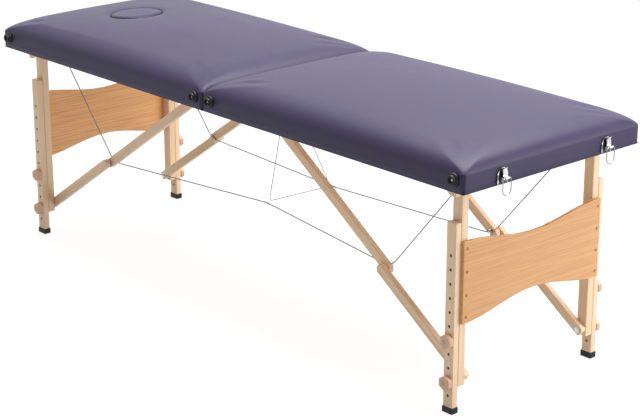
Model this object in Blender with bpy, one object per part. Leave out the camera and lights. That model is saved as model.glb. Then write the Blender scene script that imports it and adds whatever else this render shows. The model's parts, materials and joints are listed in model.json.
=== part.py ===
"""Folding massage table: two padded sections on wooden frames, with cable-stayed folding legs.

Metres, +Z up. The origin is on the floor, under the middle of the seam between the two sections.
The head section lies at -X and the foot section at +X. The near long side is -Y and the far one +Y.
"""

import math

import bmesh
import bpy
from mathutils import Vector

# Running gap between pieces that touch on the real table.
GAP = 0.0003

# The top: overall plan, frame, deck and upholstery.
TABLE_LENGTH = 1.86
TABLE_WIDTH = 0.61
FRAME_BOTTOM = 0.57
SEAM_GAP = 0.0012
CORNER_RADIUS = 0.01
FRAME_CORNER = 0.024
CORNER_STEPS = 4
VINYL = 0.0012
RAIL_HEIGHT = 0.056
RAIL_THICKNESS = 0.018
DECK_THICKNESS = 0.005
RAIL_EASE_WIDTH = 0.0065
RAIL_EASE_HEIGHT = 0.012
DECK_INSET = 0.0135
SIDE_HEIGHT = 0.043
PAD_ROLL_WIDTH = 0.053
PAD_ROLL_HEIGHT = 0.032
PAD_CROWN = 0.023
PAD_FULLNESS = 0.8
PAD_INSETS = (0.0014, 0.0055, DECK_INSET, 0.027, PAD_ROLL_WIDTH, 0.1, 0.165)
PAD_FLAT_INSET = 0.25
PAD_FLAT_PART = 0.95
PAD_CORNER_SPREAD = 2.4
FOAM_GAP = 0.0006

# The face hole near the head end, and the padded plug that fills it.
HOLE_FROM_END = 0.24
HOLE_HALF_LENGTH = 0.066
HOLE_HALF_WIDTH = 0.079
HOLE_LEDGE = 0.012
HOLE_STEPS = 32
PLUG_GAP = 0.0012
PLUG_RISE = 0.0015
PLUG_ROLL = 0.009

# Battens, leg blocks and cleats glued inside each frame.
BATTEN_FROM_END = 0.065
BATTEN_WIDTH = 0.03
BATTEN_DEPTH = 0.014
BLOCK_REACH = 0.055
BLOCK_BACK = 0.03
BLOCK_LIFT = 0.002
BLOCK_GAP = 0.0015
CLEAT_LENGTH = 0.11
CLEAT_THICKNESS = 0.016
CLEAT_DEPTH = 0.036
JOINT_BITE = 0.004

# Legs: the upper leg hangs on the frame, the lower leg slides on its outer face.
LEG_SETBACK = 0.079
LEG_PIVOT_RISE = 0.022
LEG_DEPTH = 0.03
LEG_INSET = 0.047
LOWER_LEG_THICKNESS = 0.018
UPPER_LEG_THICKNESS = 0.022
UPPER_LEG_BOTTOM = 0.066
LOWER_LEG_TOP = 0.475
WEDGE_REACH = 0.033
WEDGE_HEIGHT = 0.03
WEDGE_SLOPE = 0.021
WEDGE_THICKNESS = 0.022
LEG_BEVEL = 0.0015
HOLE_RADIUS = 0.004
HOLE_SIDES = 10
HOLE_COUNT = 11
HOLE_PITCH = 0.035
FIRST_HOLE = 0.045
LOW_KNOB_HOLE = 1
HIGH_KNOB_HOLE = 4
KNOB_RADIUS = 0.0185
KNOB_THICKNESS = 0.015
KNOB_BEVEL = 0.0028
FOOT_SOLE = 0.006
FOOT_WALL = 0.0016
FOOT_HEIGHT = 0.016

# Hour-glass panel across the outer faces of each pair of upper legs.
PANEL_THICKNESS = 0.009
PANEL_END_GAP = 0.001
PANEL_TOP = 0.43
PANEL_TOP_DIP = 0.027
PANEL_BOTTOM = 0.226
PANEL_BOTTOM_ARCH = 0.033
PANEL_STEPS = 14
PANEL_BEVEL = 0.001

# Folding braces: an upper and a lower strut that lap at the knee.
BRACE_PIVOT_FROM_SEAM = 0.079
BRACE_PIVOT_RISE = 0.036
BRACE_FOOT_HEIGHT = 0.085
BRACE_WIDTH = 0.025
BRACE_THICKNESS = 0.016
BRACE_LAP_GAP = 0.0034
BRACE_TIP = 0.014
BRACE_TIP_CHAMFER = 0.009

# Rubber bumpers on the near side and strap handles on the far side.
BUMPER_REACH = 0.012
BUMPER_RADIUS = 0.016
BUMPER_FROM_END = 0.03
BUMPER_FROM_SEAM = 0.032
BUMPER_RISE = 0.03
BUMPER_SIDES = 16
HANDLE_LENGTH = 0.24
HANDLE_WIDTH = 0.03
HANDLE_THICKNESS = 0.004
HANDLE_LIFT = 0.016
HANDLE_TAB = 0.032
HANDLE_STEPS = 14

# Long hinge under the seam.
HINGE_DROP = 0.0045
HINGE_LENGTH = 0.42
HINGE_KNUCKLES = 9
HINGE_LEAF_WIDTH = 0.03
HINGE_LEAF = 0.0018
HINGE_EDGE = 0.0055
KNUCKLE_RADIUS = 0.0038
PIN_RADIUS = 0.002
PIN_OVERHANG = 0.001
KNUCKLE_SIDES = 12

# Draw latches on the foot end and their catches on the head end.
LATCH_SPREAD = 0.18
LATCH_PLATE_WIDTH = 0.04
LATCH_PLATE_HEIGHT = 0.04
LATCH_PLATE_LIFT = 0.002
LATCH_PLATE = 0.0015
EAR_HEIGHT = 0.009
EAR_THICKNESS = 0.002
LEVER_WIDTH = 0.012
LEVER_PIVOT_RISE = 0.013
LEVER_PIVOT_REACH = 0.0085
LEVER_LENGTH = 0.027
EYE_REACH = 0.0065
EYE_RISE = 0.0045
LOOP_WIRE = 0.0026
LOOP_WIDTH = 0.03
LOOP_HEIGHT = 0.044
LOOP_STEPS = 5
CATCH_WIDTH = 0.026
CATCH_HEIGHT = 0.02
CATCH_LIFT = 0.003
CATCH_REACH = 0.007
CATCH_HOOK_WIDTH = 0.015

# Steel cables along each long side and the elastic cord between them.
CABLE_DIAMETER = 0.003
CABLE_BEND = 0.03
CORD_DIAMETER = 0.002
CORD_BEND = 0.012
CABLE_MIDDLE = {"near": (0.0, -0.09, 0.272), "far": (0.0, 0.148, 0.266)}

# Heights and places that follow from the sizes above.
HALF_LENGTH = TABLE_LENGTH / 2
SKIN = VINYL + GAP
SECTION_X = (HALF_LENGTH - SEAM_GAP / 2) / 2
SECTION_Y = TABLE_WIDTH / 2
SECTION_CENTRE = SEAM_GAP / 2 + SECTION_X
RAIL_TOP = FRAME_BOTTOM + RAIL_HEIGHT
DECK_BOTTOM = RAIL_TOP + GAP
DECK_TOP = DECK_BOTTOM + DECK_THICKNESS
FOAM_BOTTOM = DECK_TOP + GAP
SIDE_TOP = FRAME_BOTTOM + SIDE_HEIGHT
CREST = SIDE_TOP + PAD_ROLL_HEIGHT + PAD_CROWN
RAIL_OUTER_Y = SECTION_Y - SKIN
RAIL_INNER_Y = RAIL_OUTER_Y - RAIL_THICKNESS
RAIL_SEAM_U = SEAM_GAP / 2 + SKIN + RAIL_THICKNESS
RAIL_END_U = HALF_LENGTH - SKIN - RAIL_THICKNESS
LEG_U = HALF_LENGTH - LEG_SETBACK
LEG_PIVOT = FRAME_BOTTOM + LEG_PIVOT_RISE
LEG_OUTER_U = LEG_U + LEG_DEPTH / 2
LEG_INNER_U = LEG_U - LEG_DEPTH / 2
LOWER_LEG_OUT = TABLE_WIDTH / 2 - LEG_INSET
LOWER_LEG_IN = LOWER_LEG_OUT - LOWER_LEG_THICKNESS
UPPER_LEG_OUT = LOWER_LEG_IN - GAP
UPPER_LEG_IN = UPPER_LEG_OUT - UPPER_LEG_THICKNESS
LOWER_BRACE_OUT = UPPER_LEG_IN - GAP
LOWER_BRACE_IN = LOWER_BRACE_OUT - BRACE_THICKNESS
UPPER_BRACE_OUT = LOWER_BRACE_IN - BRACE_LAP_GAP
UPPER_BRACE_IN = UPPER_BRACE_OUT - BRACE_THICKNESS
CABLE_LANE = UPPER_BRACE_IN - GAP - CABLE_DIAMETER / 2
BATTEN_U = HALF_LENGTH - BATTEN_FROM_END
BATTEN_BOTTOM = RAIL_TOP - BATTEN_DEPTH
HINGE_Z = FRAME_BOTTOM - HINGE_DROP
HOLE_X = HOLE_FROM_END - HALF_LENGTH
BRACE_PIVOT = Vector((BRACE_PIVOT_FROM_SEAM, 0, FRAME_BOTTOM + BRACE_PIVOT_RISE))
BRACE_FOOT = Vector((LEG_U, 0, BRACE_FOOT_HEIGHT))

SIDES = {"head": -1, "foot": 1}
LANES = {"near": -1, "far": 1}

FINISHES = {
    "vinyl": ((0.155, 0.140, 0.205), 0.45, 0.0),
    "foam": ((0.82, 0.78, 0.62), 0.95, 0.0),
    "plywood": ((0.76, 0.44, 0.20), 0.5, 0.0),
    "beech": ((0.76, 0.50, 0.29), 0.45, 0.0),
    "rubber": ((0.018, 0.018, 0.02), 0.7, 0.0),
    "webbing": ((0.03, 0.03, 0.035), 0.85, 0.0),
    "chrome": ((0.80, 0.80, 0.82), 0.15, 1.0),
    "steel": ((0.50, 0.50, 0.52), 0.35, 1.0),
    "elastic": ((0.70, 0.70, 0.68), 0.8, 0.0),
}


def clear_scene():
    for obj in list(bpy.data.objects):
        bpy.data.objects.remove(obj, do_unlink=True)


def make_finishes():
    made = {}
    for name, (colour, roughness, metallic) in FINISHES.items():
        material = bpy.data.materials.new(name)
        material.use_nodes = True
        shader = material.node_tree.nodes["Principled BSDF"]
        shader.inputs["Base Color"].default_value = (*colour, 1.0)
        shader.inputs["Roughness"].default_value = roughness
        shader.inputs["Metallic"].default_value = metallic
        made[name] = material
    return made


def body(name, place, parent=None):
    """An empty on a body's joint axis. The pieces of that body hang on it."""
    empty = bpy.data.objects.new(name + "_body", None)
    bpy.context.scene.collection.objects.link(empty)
    empty.parent = parent
    empty.location = Vector(place) - world_place(parent)
    return empty


def world_place(obj):
    place = Vector()
    while obj is not None:
        place += obj.location
        obj = obj.parent
    return place


def place_mesh(name, bm, parent):
    """A mesh built in world coordinates, kept relative to its body's empty."""
    bmesh.ops.translate(bm, verts=bm.verts, vec=-world_place(parent))
    mesh = bpy.data.meshes.new(name)
    bm.to_mesh(mesh)
    bm.free()
    obj = bpy.data.objects.new(name, mesh)
    bpy.context.scene.collection.objects.link(obj)
    obj.parent = parent
    return obj


def piece(name, bm, parent, finish, smooth_angle=35):
    obj = place_mesh(name, bm, parent)
    obj.data.materials.append(MATERIALS[finish])
    obj.data.shade_smooth()
    obj.data.set_sharp_from_angle(angle=math.radians(smooth_angle))
    return obj


def combine(obj, bm, operation):
    """Cuts a shape out of a piece, or joins it on, with a hidden helper."""
    helper = place_mesh(f"{obj.name}_{operation.lower()}_{len(obj.modifiers)}", bm, obj.parent)
    helper.hide_render = True
    helper.display_type = "WIRE"
    helper.hide_set(True)
    modifier = obj.modifiers.new(operation.title(), "BOOLEAN")
    modifier.operation = operation
    modifier.object = helper


def soften(obj, width, segments=1):
    modifier = obj.modifiers.new("Soft edges", "BEVEL")
    modifier.width = width
    modifier.segments = segments
    modifier.limit_method = "ANGLE"
    modifier.angle_limit = math.radians(40)


def prism(outline, axis, low, high):
    """A flat outline pushed along one axis. The outline's two numbers are the other axes, in X, Y, Z order."""
    index = "XYZ".index(axis)
    bm = bmesh.new()
    ring = []
    for point in outline:
        place = list(point)
        place.insert(index, low)
        ring.append(bm.verts.new(place))
    face = bm.faces.new(ring)
    grown = bmesh.ops.extrude_face_region(bm, geom=[face])
    push = Vector((0, 0, 0))
    push[index] = high - low
    moved = [item for item in grown["geom"] if isinstance(item, bmesh.types.BMVert)]
    bmesh.ops.translate(bm, verts=moved, vec=push)
    bmesh.ops.recalc_face_normals(bm, faces=bm.faces)
    return bm


def box(low, high):
    corners = [(low[0], low[1]), (high[0], low[1]), (high[0], high[1]), (low[0], high[1])]
    return prism(corners, "Z", low[2], high[2])


def span(*values):
    return min(values), max(values)


def section_box(side, us, lane_ys, zs):
    """A box given by its distances from the seam, with the sign of its section."""
    low_x, high_x = span(side * us[0], side * us[1])
    low_y, high_y = span(*lane_ys)
    return box((low_x, low_y, zs[0]), (high_x, high_y, zs[1]))


def merge(*shapes):
    """Several shapes as one mesh. Shapes that stay apart make one cutter."""
    whole = bmesh.new()
    for shape in shapes:
        mesh = bpy.data.meshes.new("part of a cutter")
        shape.to_mesh(mesh)
        shape.free()
        whole.from_mesh(mesh)
        bpy.data.meshes.remove(mesh)
    return whole


def arc(centre, radius, start, end, steps):
    """Points on an arc, with angles in degrees."""
    points = []
    for step in range(steps + 1):
        angle = math.radians(start + (end - start) * step / steps)
        points.append((centre[0] + radius * math.cos(angle), centre[1] + radius * math.sin(angle)))
    return points


def circle(centre, radius, sides):
    return arc(centre, radius, 0, 360 - 360 / sides, sides - 1)


def rod(axis, centre, radius, low, high, sides):
    return prism(circle(centre, radius, sides), axis, low, high)


def turned(profile, centre, direction, sides):
    """A profile of (radius, height) points spun round the Y axis through centre."""
    bm = bmesh.new()
    points = []
    for radius, height in profile:
        points.append(bm.verts.new((centre[0] + radius, centre[1] + direction * height, centre[2])))
    edges = [bm.edges.new(pair) for pair in zip(points[:-1], points[1:])]
    bmesh.ops.spin(
        bm, geom=points + edges, cent=centre, axis=(0, 1, 0), angle=math.tau, steps=sides, use_merge=True
    )
    bmesh.ops.remove_doubles(bm, verts=bm.verts, dist=1e-6)
    bmesh.ops.recalc_face_normals(bm, faces=bm.faces)
    return bm


def loft(rings, closed_bottom=True):
    """A skin over rings of points that run anticlockwise from above, from the lowest ring to the top one."""
    bm = bmesh.new()
    rows = [[bm.verts.new(point) for point in ring] for ring in rings]
    count = len(rows[0])
    for lower, upper in zip(rows[:-1], rows[1:]):
        for i in range(count):
            j = (i + 1) % count
            bm.faces.new((lower[i], lower[j], upper[j], upper[i]))
    bm.faces.new(rows[-1])
    if closed_bottom:
        bm.faces.new(rows[0][::-1])
    return bm


def rounded_rectangle(half_x, half_y, radius, corner_steps, long_steps=1, short_steps=1):
    """Anticlockwise outline round the origin, with its straight sides cut into equal steps."""
    points = []
    corners = ((1, -1, -90), (1, 1, 0), (-1, 1, 90), (-1, -1, 180))
    for number, (sign_x, sign_y, start) in enumerate(corners):
        centre = (sign_x * (half_x - radius), sign_y * (half_y - radius))
        points += arc(centre, radius, start, start + 90, corner_steps)
        next_x, next_y, next_start = corners[(number + 1) % 4]
        following = (next_x * (half_x - radius), next_y * (half_y - radius))
        angle = math.radians(next_start)
        goal = (following[0] + radius * math.cos(angle), following[1] + radius * math.sin(angle))
        steps = short_steps if number % 2 == 0 else long_steps
        last = points[-1]
        for step in range(1, steps):
            part = step / steps
            points.append((last[0] + (goal[0] - last[0]) * part, last[1] + (goal[1] - last[1]) * part))
    return points


def section_outline(side, inset, radius, long_steps=1, short_steps=1):
    """Plan of one section, drawn in from the vinyl's outer face."""
    outline = rounded_rectangle(
        SECTION_X - inset, SECTION_Y - inset, radius, CORNER_STEPS, long_steps, short_steps
    )
    return [(side * SECTION_CENTRE + x, y) for x, y in outline]


def pad_height(side, x, y, across, inset):
    """Height of a surface inset inside the vinyl's: a round roll along the edge, then a broad crown."""
    part = 1 - min(across / PAD_ROLL_WIDTH, 1.0)
    roll = PAD_ROLL_HEIGHT * math.sqrt(1 - part**2)
    along = 1 - ((x - side * SECTION_CENTRE) / SECTION_X) ** 2
    sideways = 1 - (y / SECTION_Y) ** 2
    return SIDE_TOP - inset + roll + PAD_CROWN * max(along * sideways, 0.0) ** PAD_FULLNESS


def pad_outline(side, across):
    """Plan of the pad at one distance from its edge. The corners open as they go in."""
    radius = CORNER_RADIUS + PAD_CORNER_SPREAD * across
    radius = min(radius, 0.98 * (SECTION_Y - across))
    return section_outline(side, across, radius, 7, 5)


def pad_rings(side, inset, insets):
    """Rings over the padded top, from the first distance from the edge to the flat crown."""
    rings = []
    for across in insets:
        rings.append([(x, y, pad_height(side, x, y, across, inset)) for x, y in pad_outline(side, across)])
    crown = SIDE_TOP - inset + PAD_ROLL_HEIGHT + PAD_CROWN * PAD_FLAT_PART
    rings.append([(x, y, crown) for x, y in pad_outline(side, PAD_FLAT_INSET)])
    return rings


def oval(inset):
    points = []
    for step in range(HOLE_STEPS):
        angle = math.tau * step / HOLE_STEPS
        half_x = HOLE_HALF_LENGTH - inset
        half_y = HOLE_HALF_WIDTH - inset
        points.append((HOLE_X + half_x * math.cos(angle), half_y * math.sin(angle)))
    return points


def hole_cutter(inset):
    return prism(oval(inset), "Z", FRAME_BOTTOM, CREST + PAD_ROLL_HEIGHT)


def make_frame(section, side, parent):
    """Glued rail frame with its batten, leg blocks and brace cleats."""
    outline = section_outline(side, SKIN, FRAME_CORNER)
    eased = section_outline(side, SKIN + RAIL_EASE_WIDTH, FRAME_CORNER)
    rings = [
        [(x, y, FRAME_BOTTOM) for x, y in outline],
        [(x, y, RAIL_TOP - RAIL_EASE_HEIGHT) for x, y in outline],
        [(x, y, RAIL_TOP) for x, y in eased],
    ]
    frame = piece(f"{section}_frame", loft(rings), parent, "beech")
    tray = section_box(
        side,
        (RAIL_SEAM_U, RAIL_END_U),
        (-RAIL_INNER_Y, RAIL_INNER_Y),
        (FRAME_BOTTOM - RAIL_HEIGHT, RAIL_TOP + RAIL_HEIGHT),
    )
    combine(frame, tray, "DIFFERENCE")
    bite = RAIL_INNER_Y + JOINT_BITE
    half = BATTEN_WIDTH / 2
    batten = section_box(
        side, (BATTEN_U - half, BATTEN_U + half), (-bite, bite), (BATTEN_BOTTOM, RAIL_TOP - GAP)
    )
    combine(frame, batten, "UNION")
    for lane in LANES.values():
        block_in = UPPER_LEG_OUT + WEDGE_THICKNESS + BLOCK_GAP
        block = section_box(
            side,
            (LEG_U - BLOCK_REACH, LEG_U + BLOCK_BACK),
            (lane * block_in, lane * bite),
            (FRAME_BOTTOM + BLOCK_LIFT, RAIL_TOP - GAP),
        )
        combine(frame, block, "UNION")
        cleat_out = UPPER_BRACE_IN - GAP
        cleat = section_box(
            side,
            (RAIL_SEAM_U - JOINT_BITE, CLEAT_LENGTH),
            (lane * (cleat_out - CLEAT_THICKNESS), lane * cleat_out),
            (RAIL_TOP - CLEAT_DEPTH, RAIL_TOP - GAP),
        )
        combine(frame, cleat, "UNION")
    return frame


def make_deck(section, side, parent):
    outline = pad_outline(side, DECK_INSET)
    deck = piece(f"{section}_deck", prism(outline, "Z", DECK_BOTTOM, DECK_TOP), parent, "plywood")
    if section == "head":
        combine(deck, hole_cutter(HOLE_LEDGE), "DIFFERENCE")
    return deck


def make_upholstery(section, side, parent):
    deck_plan = [(x, y, FOAM_BOTTOM) for x, y in pad_outline(side, DECK_INSET)]
    over_deck = [across for across in PAD_INSETS if across >= DECK_INSET]
    foam_shape = loft([deck_plan] + pad_rings(side, SKIN + FOAM_GAP, over_deck))
    foam = piece(f"{section}_foam", foam_shape, parent, "foam")
    edge_plan = pad_outline(side, 0.0)
    hem = [(x, y, FRAME_BOTTOM) for x, y in edge_plan]
    rim = [(x, y, SIDE_TOP) for x, y in edge_plan]
    cover_skin = loft([hem, rim] + pad_rings(side, 0.0, PAD_INSETS), closed_bottom=False)
    cover = piece(f"{section}_cover", cover_skin, parent, "vinyl", smooth_angle=60)
    wall = cover.modifiers.new("Vinyl wall", "SOLIDIFY")
    wall.thickness = VINYL
    wall.offset = -1.0
    wall.use_even_offset = True
    if section == "head":
        combine(foam, hole_cutter(0.0), "DIFFERENCE")
        combine(cover, hole_cutter(0.0), "DIFFERENCE")


def make_plug(parent):
    """Oval padded plug: straight sides and a rolled upper edge, resting on the deck's ledge."""
    rings = [[(x, y, FOAM_BOTTOM) for x, y in oval(PLUG_GAP)]]
    for step in range(4):
        angle = math.radians(30 * step)
        inset = PLUG_GAP + PLUG_ROLL * (1 - math.cos(angle))
        rise = PLUG_RISE - PLUG_ROLL * (1 - math.sin(angle))
        top = [(x, y, pad_height(SIDES["head"], x, y, PAD_ROLL_WIDTH, 0.0) + rise) for x, y in oval(inset)]
        rings.append(top)
    return piece("face_plug", loft(rings), parent, "vinyl", smooth_angle=60)


def make_bumpers(section, side, parent):
    """Stepped rubber feet that the folded case stands on."""
    radius = BUMPER_RADIUS
    reach = BUMPER_REACH
    profile = [
        (0.0, 0.0),
        (radius, 0.0),
        (radius, 0.25 * reach),
        (0.8 * radius, 0.38 * reach),
        (0.66 * radius, 0.5 * reach),
        (0.72 * radius, 0.86 * reach),
        (0.58 * radius, reach),
        (0.0, reach),
    ]
    face = -SECTION_Y - GAP
    places = {"outer": HALF_LENGTH - BUMPER_FROM_END, "seam": SEAM_GAP / 2 + BUMPER_FROM_SEAM}
    for name, u in places.items():
        centre = (side * u, face, FRAME_BOTTOM + BUMPER_RISE)
        shape = turned(profile, centre, -1, BUMPER_SIDES)
        piece(f"{section}_{name}_bumper", shape, parent, "rubber")


def make_handle(section, side, parent):
    """Strap handle: flat tabs at both ends and a finger arch between them."""
    face = SECTION_Y + GAP
    start = side * SECTION_CENTRE - HANDLE_LENGTH / 2
    arch = HANDLE_LENGTH - 2 * HANDLE_TAB
    inner = [(start, face)]
    for step in range(HANDLE_STEPS + 1):
        part = step / HANDLE_STEPS
        rise = HANDLE_LIFT * (0.5 - 0.5 * math.cos(math.tau * part)) ** 0.7
        inner.append((start + HANDLE_TAB + arch * part, face + rise))
    inner.append((start + HANDLE_LENGTH, face))
    outer = [(x, y + HANDLE_THICKNESS) for x, y in inner]
    middle = FRAME_BOTTOM + BUMPER_RISE
    shape = prism(inner + outer[::-1], "Z", middle - HANDLE_WIDTH / 2, middle + HANDLE_WIDTH / 2)
    return piece(f"{section}_handle", shape, parent, "webbing")


def make_hinge_leaf(section, side, parent):
    """Leaf of the long hinge, with every second knuckle."""
    pitch = HINGE_LENGTH / HINGE_KNUCKLES
    first = 0 if section == "head" else 1
    edge = HINGE_EDGE
    outline = [(side * HINGE_LEAF_WIDTH, -HINGE_LENGTH / 2), (side * edge, -HINGE_LENGTH / 2)]
    knuckles = []
    for number in range(first, HINGE_KNUCKLES, 2):
        low = -HINGE_LENGTH / 2 + number * pitch + GAP
        high = low + pitch - 2 * GAP
        outline += [(side * edge, low), (0, low), (0, high), (side * edge, high)]
        knuckles.append(rod("Y", (0, HINGE_Z), KNUCKLE_RADIUS, low, high, KNUCKLE_SIDES))
    outline += [(side * edge, HINGE_LENGTH / 2), (side * HINGE_LEAF_WIDTH, HINGE_LENGTH / 2)]
    top = FRAME_BOTTOM - GAP
    leaf = piece(f"{section}_hinge_leaf", prism(tidy(outline), "Z", top - HINGE_LEAF, top), parent, "steel")
    combine(leaf, merge(*knuckles), "UNION")
    bore = rod("Y", (0, HINGE_Z), PIN_RADIUS + GAP, -HINGE_LENGTH, HINGE_LENGTH, KNUCKLE_SIDES)
    combine(leaf, bore, "DIFFERENCE")
    return leaf


def tidy(outline):
    """The same outline without points that repeat or lie less than a hair apart."""
    kept = []
    for point in outline:
        if not kept or math.dist(point, kept[-1]) > 2 * GAP:
            kept.append(point)
    return kept


def make_hinge_pin(parent):
    half = HINGE_LENGTH / 2 + PIN_OVERHANG
    return piece("hinge_pin", rod("Y", (0, HINGE_Z), PIN_RADIUS, -half, half, KNUCKLE_SIDES), parent, "steel")


def lever_place(lane):
    """The lever's pivot and, on the lever, the eye that carries the wire loop."""
    face = HALF_LENGTH + GAP
    pivot = Vector((face + LEVER_PIVOT_REACH, lane * LATCH_SPREAD, FRAME_BOTTOM + LEVER_PIVOT_RISE))
    eye = pivot + Vector((EYE_REACH, 0, EYE_RISE))
    return pivot, eye


def make_latch(lane_name, lane, half_body):
    """Draw latch: an arched plate with two ears, a lever between them and a wire loop through the lever."""
    middle = lane * LATCH_SPREAD
    face = HALF_LENGTH + GAP
    bottom = FRAME_BOTTOM + LATCH_PLATE_LIFT
    half = LATCH_PLATE_WIDTH / 2
    outline = [(middle - half, bottom), (middle + half, bottom)]
    outline += arc((middle, bottom + LATCH_PLATE_HEIGHT - half), half, 0, 180, 10)
    plate_shape = prism(outline, "X", face, face + LATCH_PLATE)
    plate = piece(f"{lane_name}_latch_plate", plate_shape, half_body, "chrome")
    pivot, eye = lever_place(lane)
    for sign in (-1, 1):
        inner = middle + sign * (LEVER_WIDTH / 2 + GAP)
        ear_low, ear_high = span(inner, inner + sign * EAR_THICKNESS)
        ear = box(
            (face + LATCH_PLATE / 2, ear_low, pivot.z - EAR_HEIGHT / 2),
            (pivot.x + EAR_HEIGHT / 4, ear_high, pivot.z + EAR_HEIGHT / 2),
        )
        combine(plate, ear, "UNION")

    lever_body = body(f"{lane_name}_latch_lever", pivot, half_body)
    hub = 0.003
    arm = 0.002
    outline = [(pivot.x - arm, pivot.z + LEVER_LENGTH)]
    outline += arc((pivot.x, pivot.z), hub, 180, 300, 5)
    outline += arc((eye.x, eye.z), hub, -60, 100, 7)
    outline += [
        (pivot.x, pivot.z + EYE_RISE + hub),
        (pivot.x, pivot.z + LEVER_LENGTH - hub),
        (pivot.x + hub, pivot.z + LEVER_LENGTH + arm / 2),
    ]
    low, high = middle - LEVER_WIDTH / 2, middle + LEVER_WIDTH / 2
    lever = piece(f"{lane_name}_latch_lever", prism(outline, "Y", low, high), lever_body, "chrome")
    eye_hole = rod("Y", (eye.x, eye.z), LOOP_WIRE / 2 + GAP, low - hub, high + hub, 10)
    combine(lever, eye_hole, "DIFFERENCE")

    loop_body = body(f"{lane_name}_latch_loop", eye, lever_body)
    wire = LOOP_WIRE / 2
    half_y = LOOP_WIDTH / 2 - wire
    half_z = LOOP_HEIGHT / 2 - wire
    bend = half_y - LEVER_WIDTH / 2 - 3 * GAP
    outline = arc((0, half_y - half_z), half_y, 180, 360, 2 * LOOP_STEPS)
    outline += arc((half_y - bend, half_z - bend), bend, 0, 90, LOOP_STEPS)
    outline += arc((bend - half_y, half_z - bend), bend, 90, 180, LOOP_STEPS)
    middle_z = eye.z - half_z
    rings = []
    count = len(outline)
    for i in range(count):
        before = Vector(outline[i - 1])
        after = Vector(outline[(i + 1) % count])
        along = (after - before).normalized()
        across = Vector((along.y, -along.x))
        ring = []
        for side in range(8):
            angle = math.tau * side / 8
            offset = across * (wire * math.cos(angle))
            ring.append(
                (
                    eye.x + wire * math.sin(angle),
                    middle + outline[i][0] + offset.x,
                    middle_z + outline[i][1] + offset.y,
                )
            )
        rings.append(ring)
    piece(f"{lane_name}_latch_loop", closed_tube(rings), loop_body, "chrome", smooth_angle=60)


def closed_tube(rings):
    """A ring-shaped tube over rings of points."""
    bm = bmesh.new()
    rows = [[bm.verts.new(point) for point in ring] for ring in rings]
    for row, following in zip(rows, rows[1:] + rows[:1]):
        for i in range(len(row)):
            j = (i + 1) % len(row)
            bm.faces.new((row[i], row[j], following[j], following[i]))
    bmesh.ops.recalc_face_normals(bm, faces=bm.faces)
    return bm


def make_catch(lane_name, lane, parent):
    """Hook on the head end that a latch's loop pulls on."""
    middle = lane * LATCH_SPREAD
    face = -HALF_LENGTH - GAP
    bottom = FRAME_BOTTOM + CATCH_LIFT
    half = CATCH_WIDTH / 2
    plate = box((face - LATCH_PLATE, middle - half, bottom), (face, middle + half, bottom + CATCH_HEIGHT))
    catch = piece(f"{lane_name}_catch", plate, parent, "chrome")
    tip = face - CATCH_REACH
    wall = LATCH_PLATE
    hook = [
        (face - wall / 2, bottom + wall),
        (tip, bottom + wall),
        (tip, bottom + 5 * wall),
        (tip + wall, bottom + 5 * wall),
        (tip + wall, bottom + 2 * wall),
        (face - wall / 2, bottom + 2 * wall),
    ]
    width = CATCH_HOOK_WIDTH / 2
    combine(catch, prism(hook, "Y", middle - width, middle + width), "UNION")
    return catch


def make_upper_leg(section, side, lane_name, lane, parent):
    """Leg hung on the frame: a rounded top round its pivot and a glued wedge on its outer face."""
    outline = [(LEG_OUTER_U, UPPER_LEG_BOTTOM)]
    outline += arc((LEG_U, LEG_PIVOT), LEG_DEPTH / 2, 0, 180, 8)
    outline.append((LEG_INNER_U, UPPER_LEG_BOTTOM))
    outline = [(side * u, z) for u, z in outline]
    low, high = span(lane * UPPER_LEG_IN, lane * UPPER_LEG_OUT)
    leg = piece(f"{section}_{lane_name}_upper_leg", prism(outline, "Y", low, high), parent, "beech")
    soften(leg, LEG_BEVEL)
    wedge_bottom = FRAME_BOTTOM - WEDGE_HEIGHT
    wedge = [
        (LEG_OUTER_U - GAP, FRAME_BOTTOM),
        (LEG_U - WEDGE_REACH, FRAME_BOTTOM),
        (LEG_U - WEDGE_REACH, wedge_bottom + WEDGE_SLOPE),
        (LEG_U, wedge_bottom),
        (LEG_OUTER_U - GAP, wedge_bottom),
    ]
    wedge = [(side * u, z) for u, z in wedge]
    low, high = span(lane * (UPPER_LEG_OUT - JOINT_BITE), lane * (UPPER_LEG_OUT + WEDGE_THICKNESS))
    combine(leg, prism(wedge, "Y", low, high), "UNION")
    return leg


def hole_height(number):
    return FIRST_HOLE + HOLE_PITCH * number


def make_lower_leg(section, side, lane_name, lane, parent):
    """Sliding leg with its column of height holes, and the rubber foot on its end."""
    bottom = FOOT_SOLE + GAP
    us = (LEG_INNER_U, LEG_OUTER_U)
    ys = (lane * LOWER_LEG_IN, lane * LOWER_LEG_OUT)
    shape = section_box(side, us, ys, (bottom, LOWER_LEG_TOP))
    leg = piece(f"{section}_{lane_name}_lower_leg", shape, parent, "beech")
    soften(leg, LEG_BEVEL)
    holes = []
    low, high = span(lane * (LOWER_LEG_IN - LEG_DEPTH), lane * (LOWER_LEG_OUT + LEG_DEPTH))
    for number in range(HOLE_COUNT):
        holes.append(rod("Y", (side * LEG_U, hole_height(number)), HOLE_RADIUS, low, high, HOLE_SIDES))
    combine(leg, merge(*holes), "DIFFERENCE")

    wall = FOOT_WALL + GAP
    low, high = span(*ys)
    outer_u = (LEG_INNER_U - wall, LEG_OUTER_U + wall)
    shell = section_box(side, outer_u, (low - wall, high + wall), (0.0, FOOT_HEIGHT))
    foot = piece(f"{section}_{lane_name}_rubber_foot", shell, parent, "rubber")
    soften(foot, LEG_BEVEL)
    socket_u = (LEG_INNER_U - GAP, LEG_OUTER_U + GAP)
    socket = section_box(side, socket_u, (low - GAP, high + GAP), (FOOT_SOLE, FOOT_HEIGHT * 2))
    combine(foot, socket, "DIFFERENCE")


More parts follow.
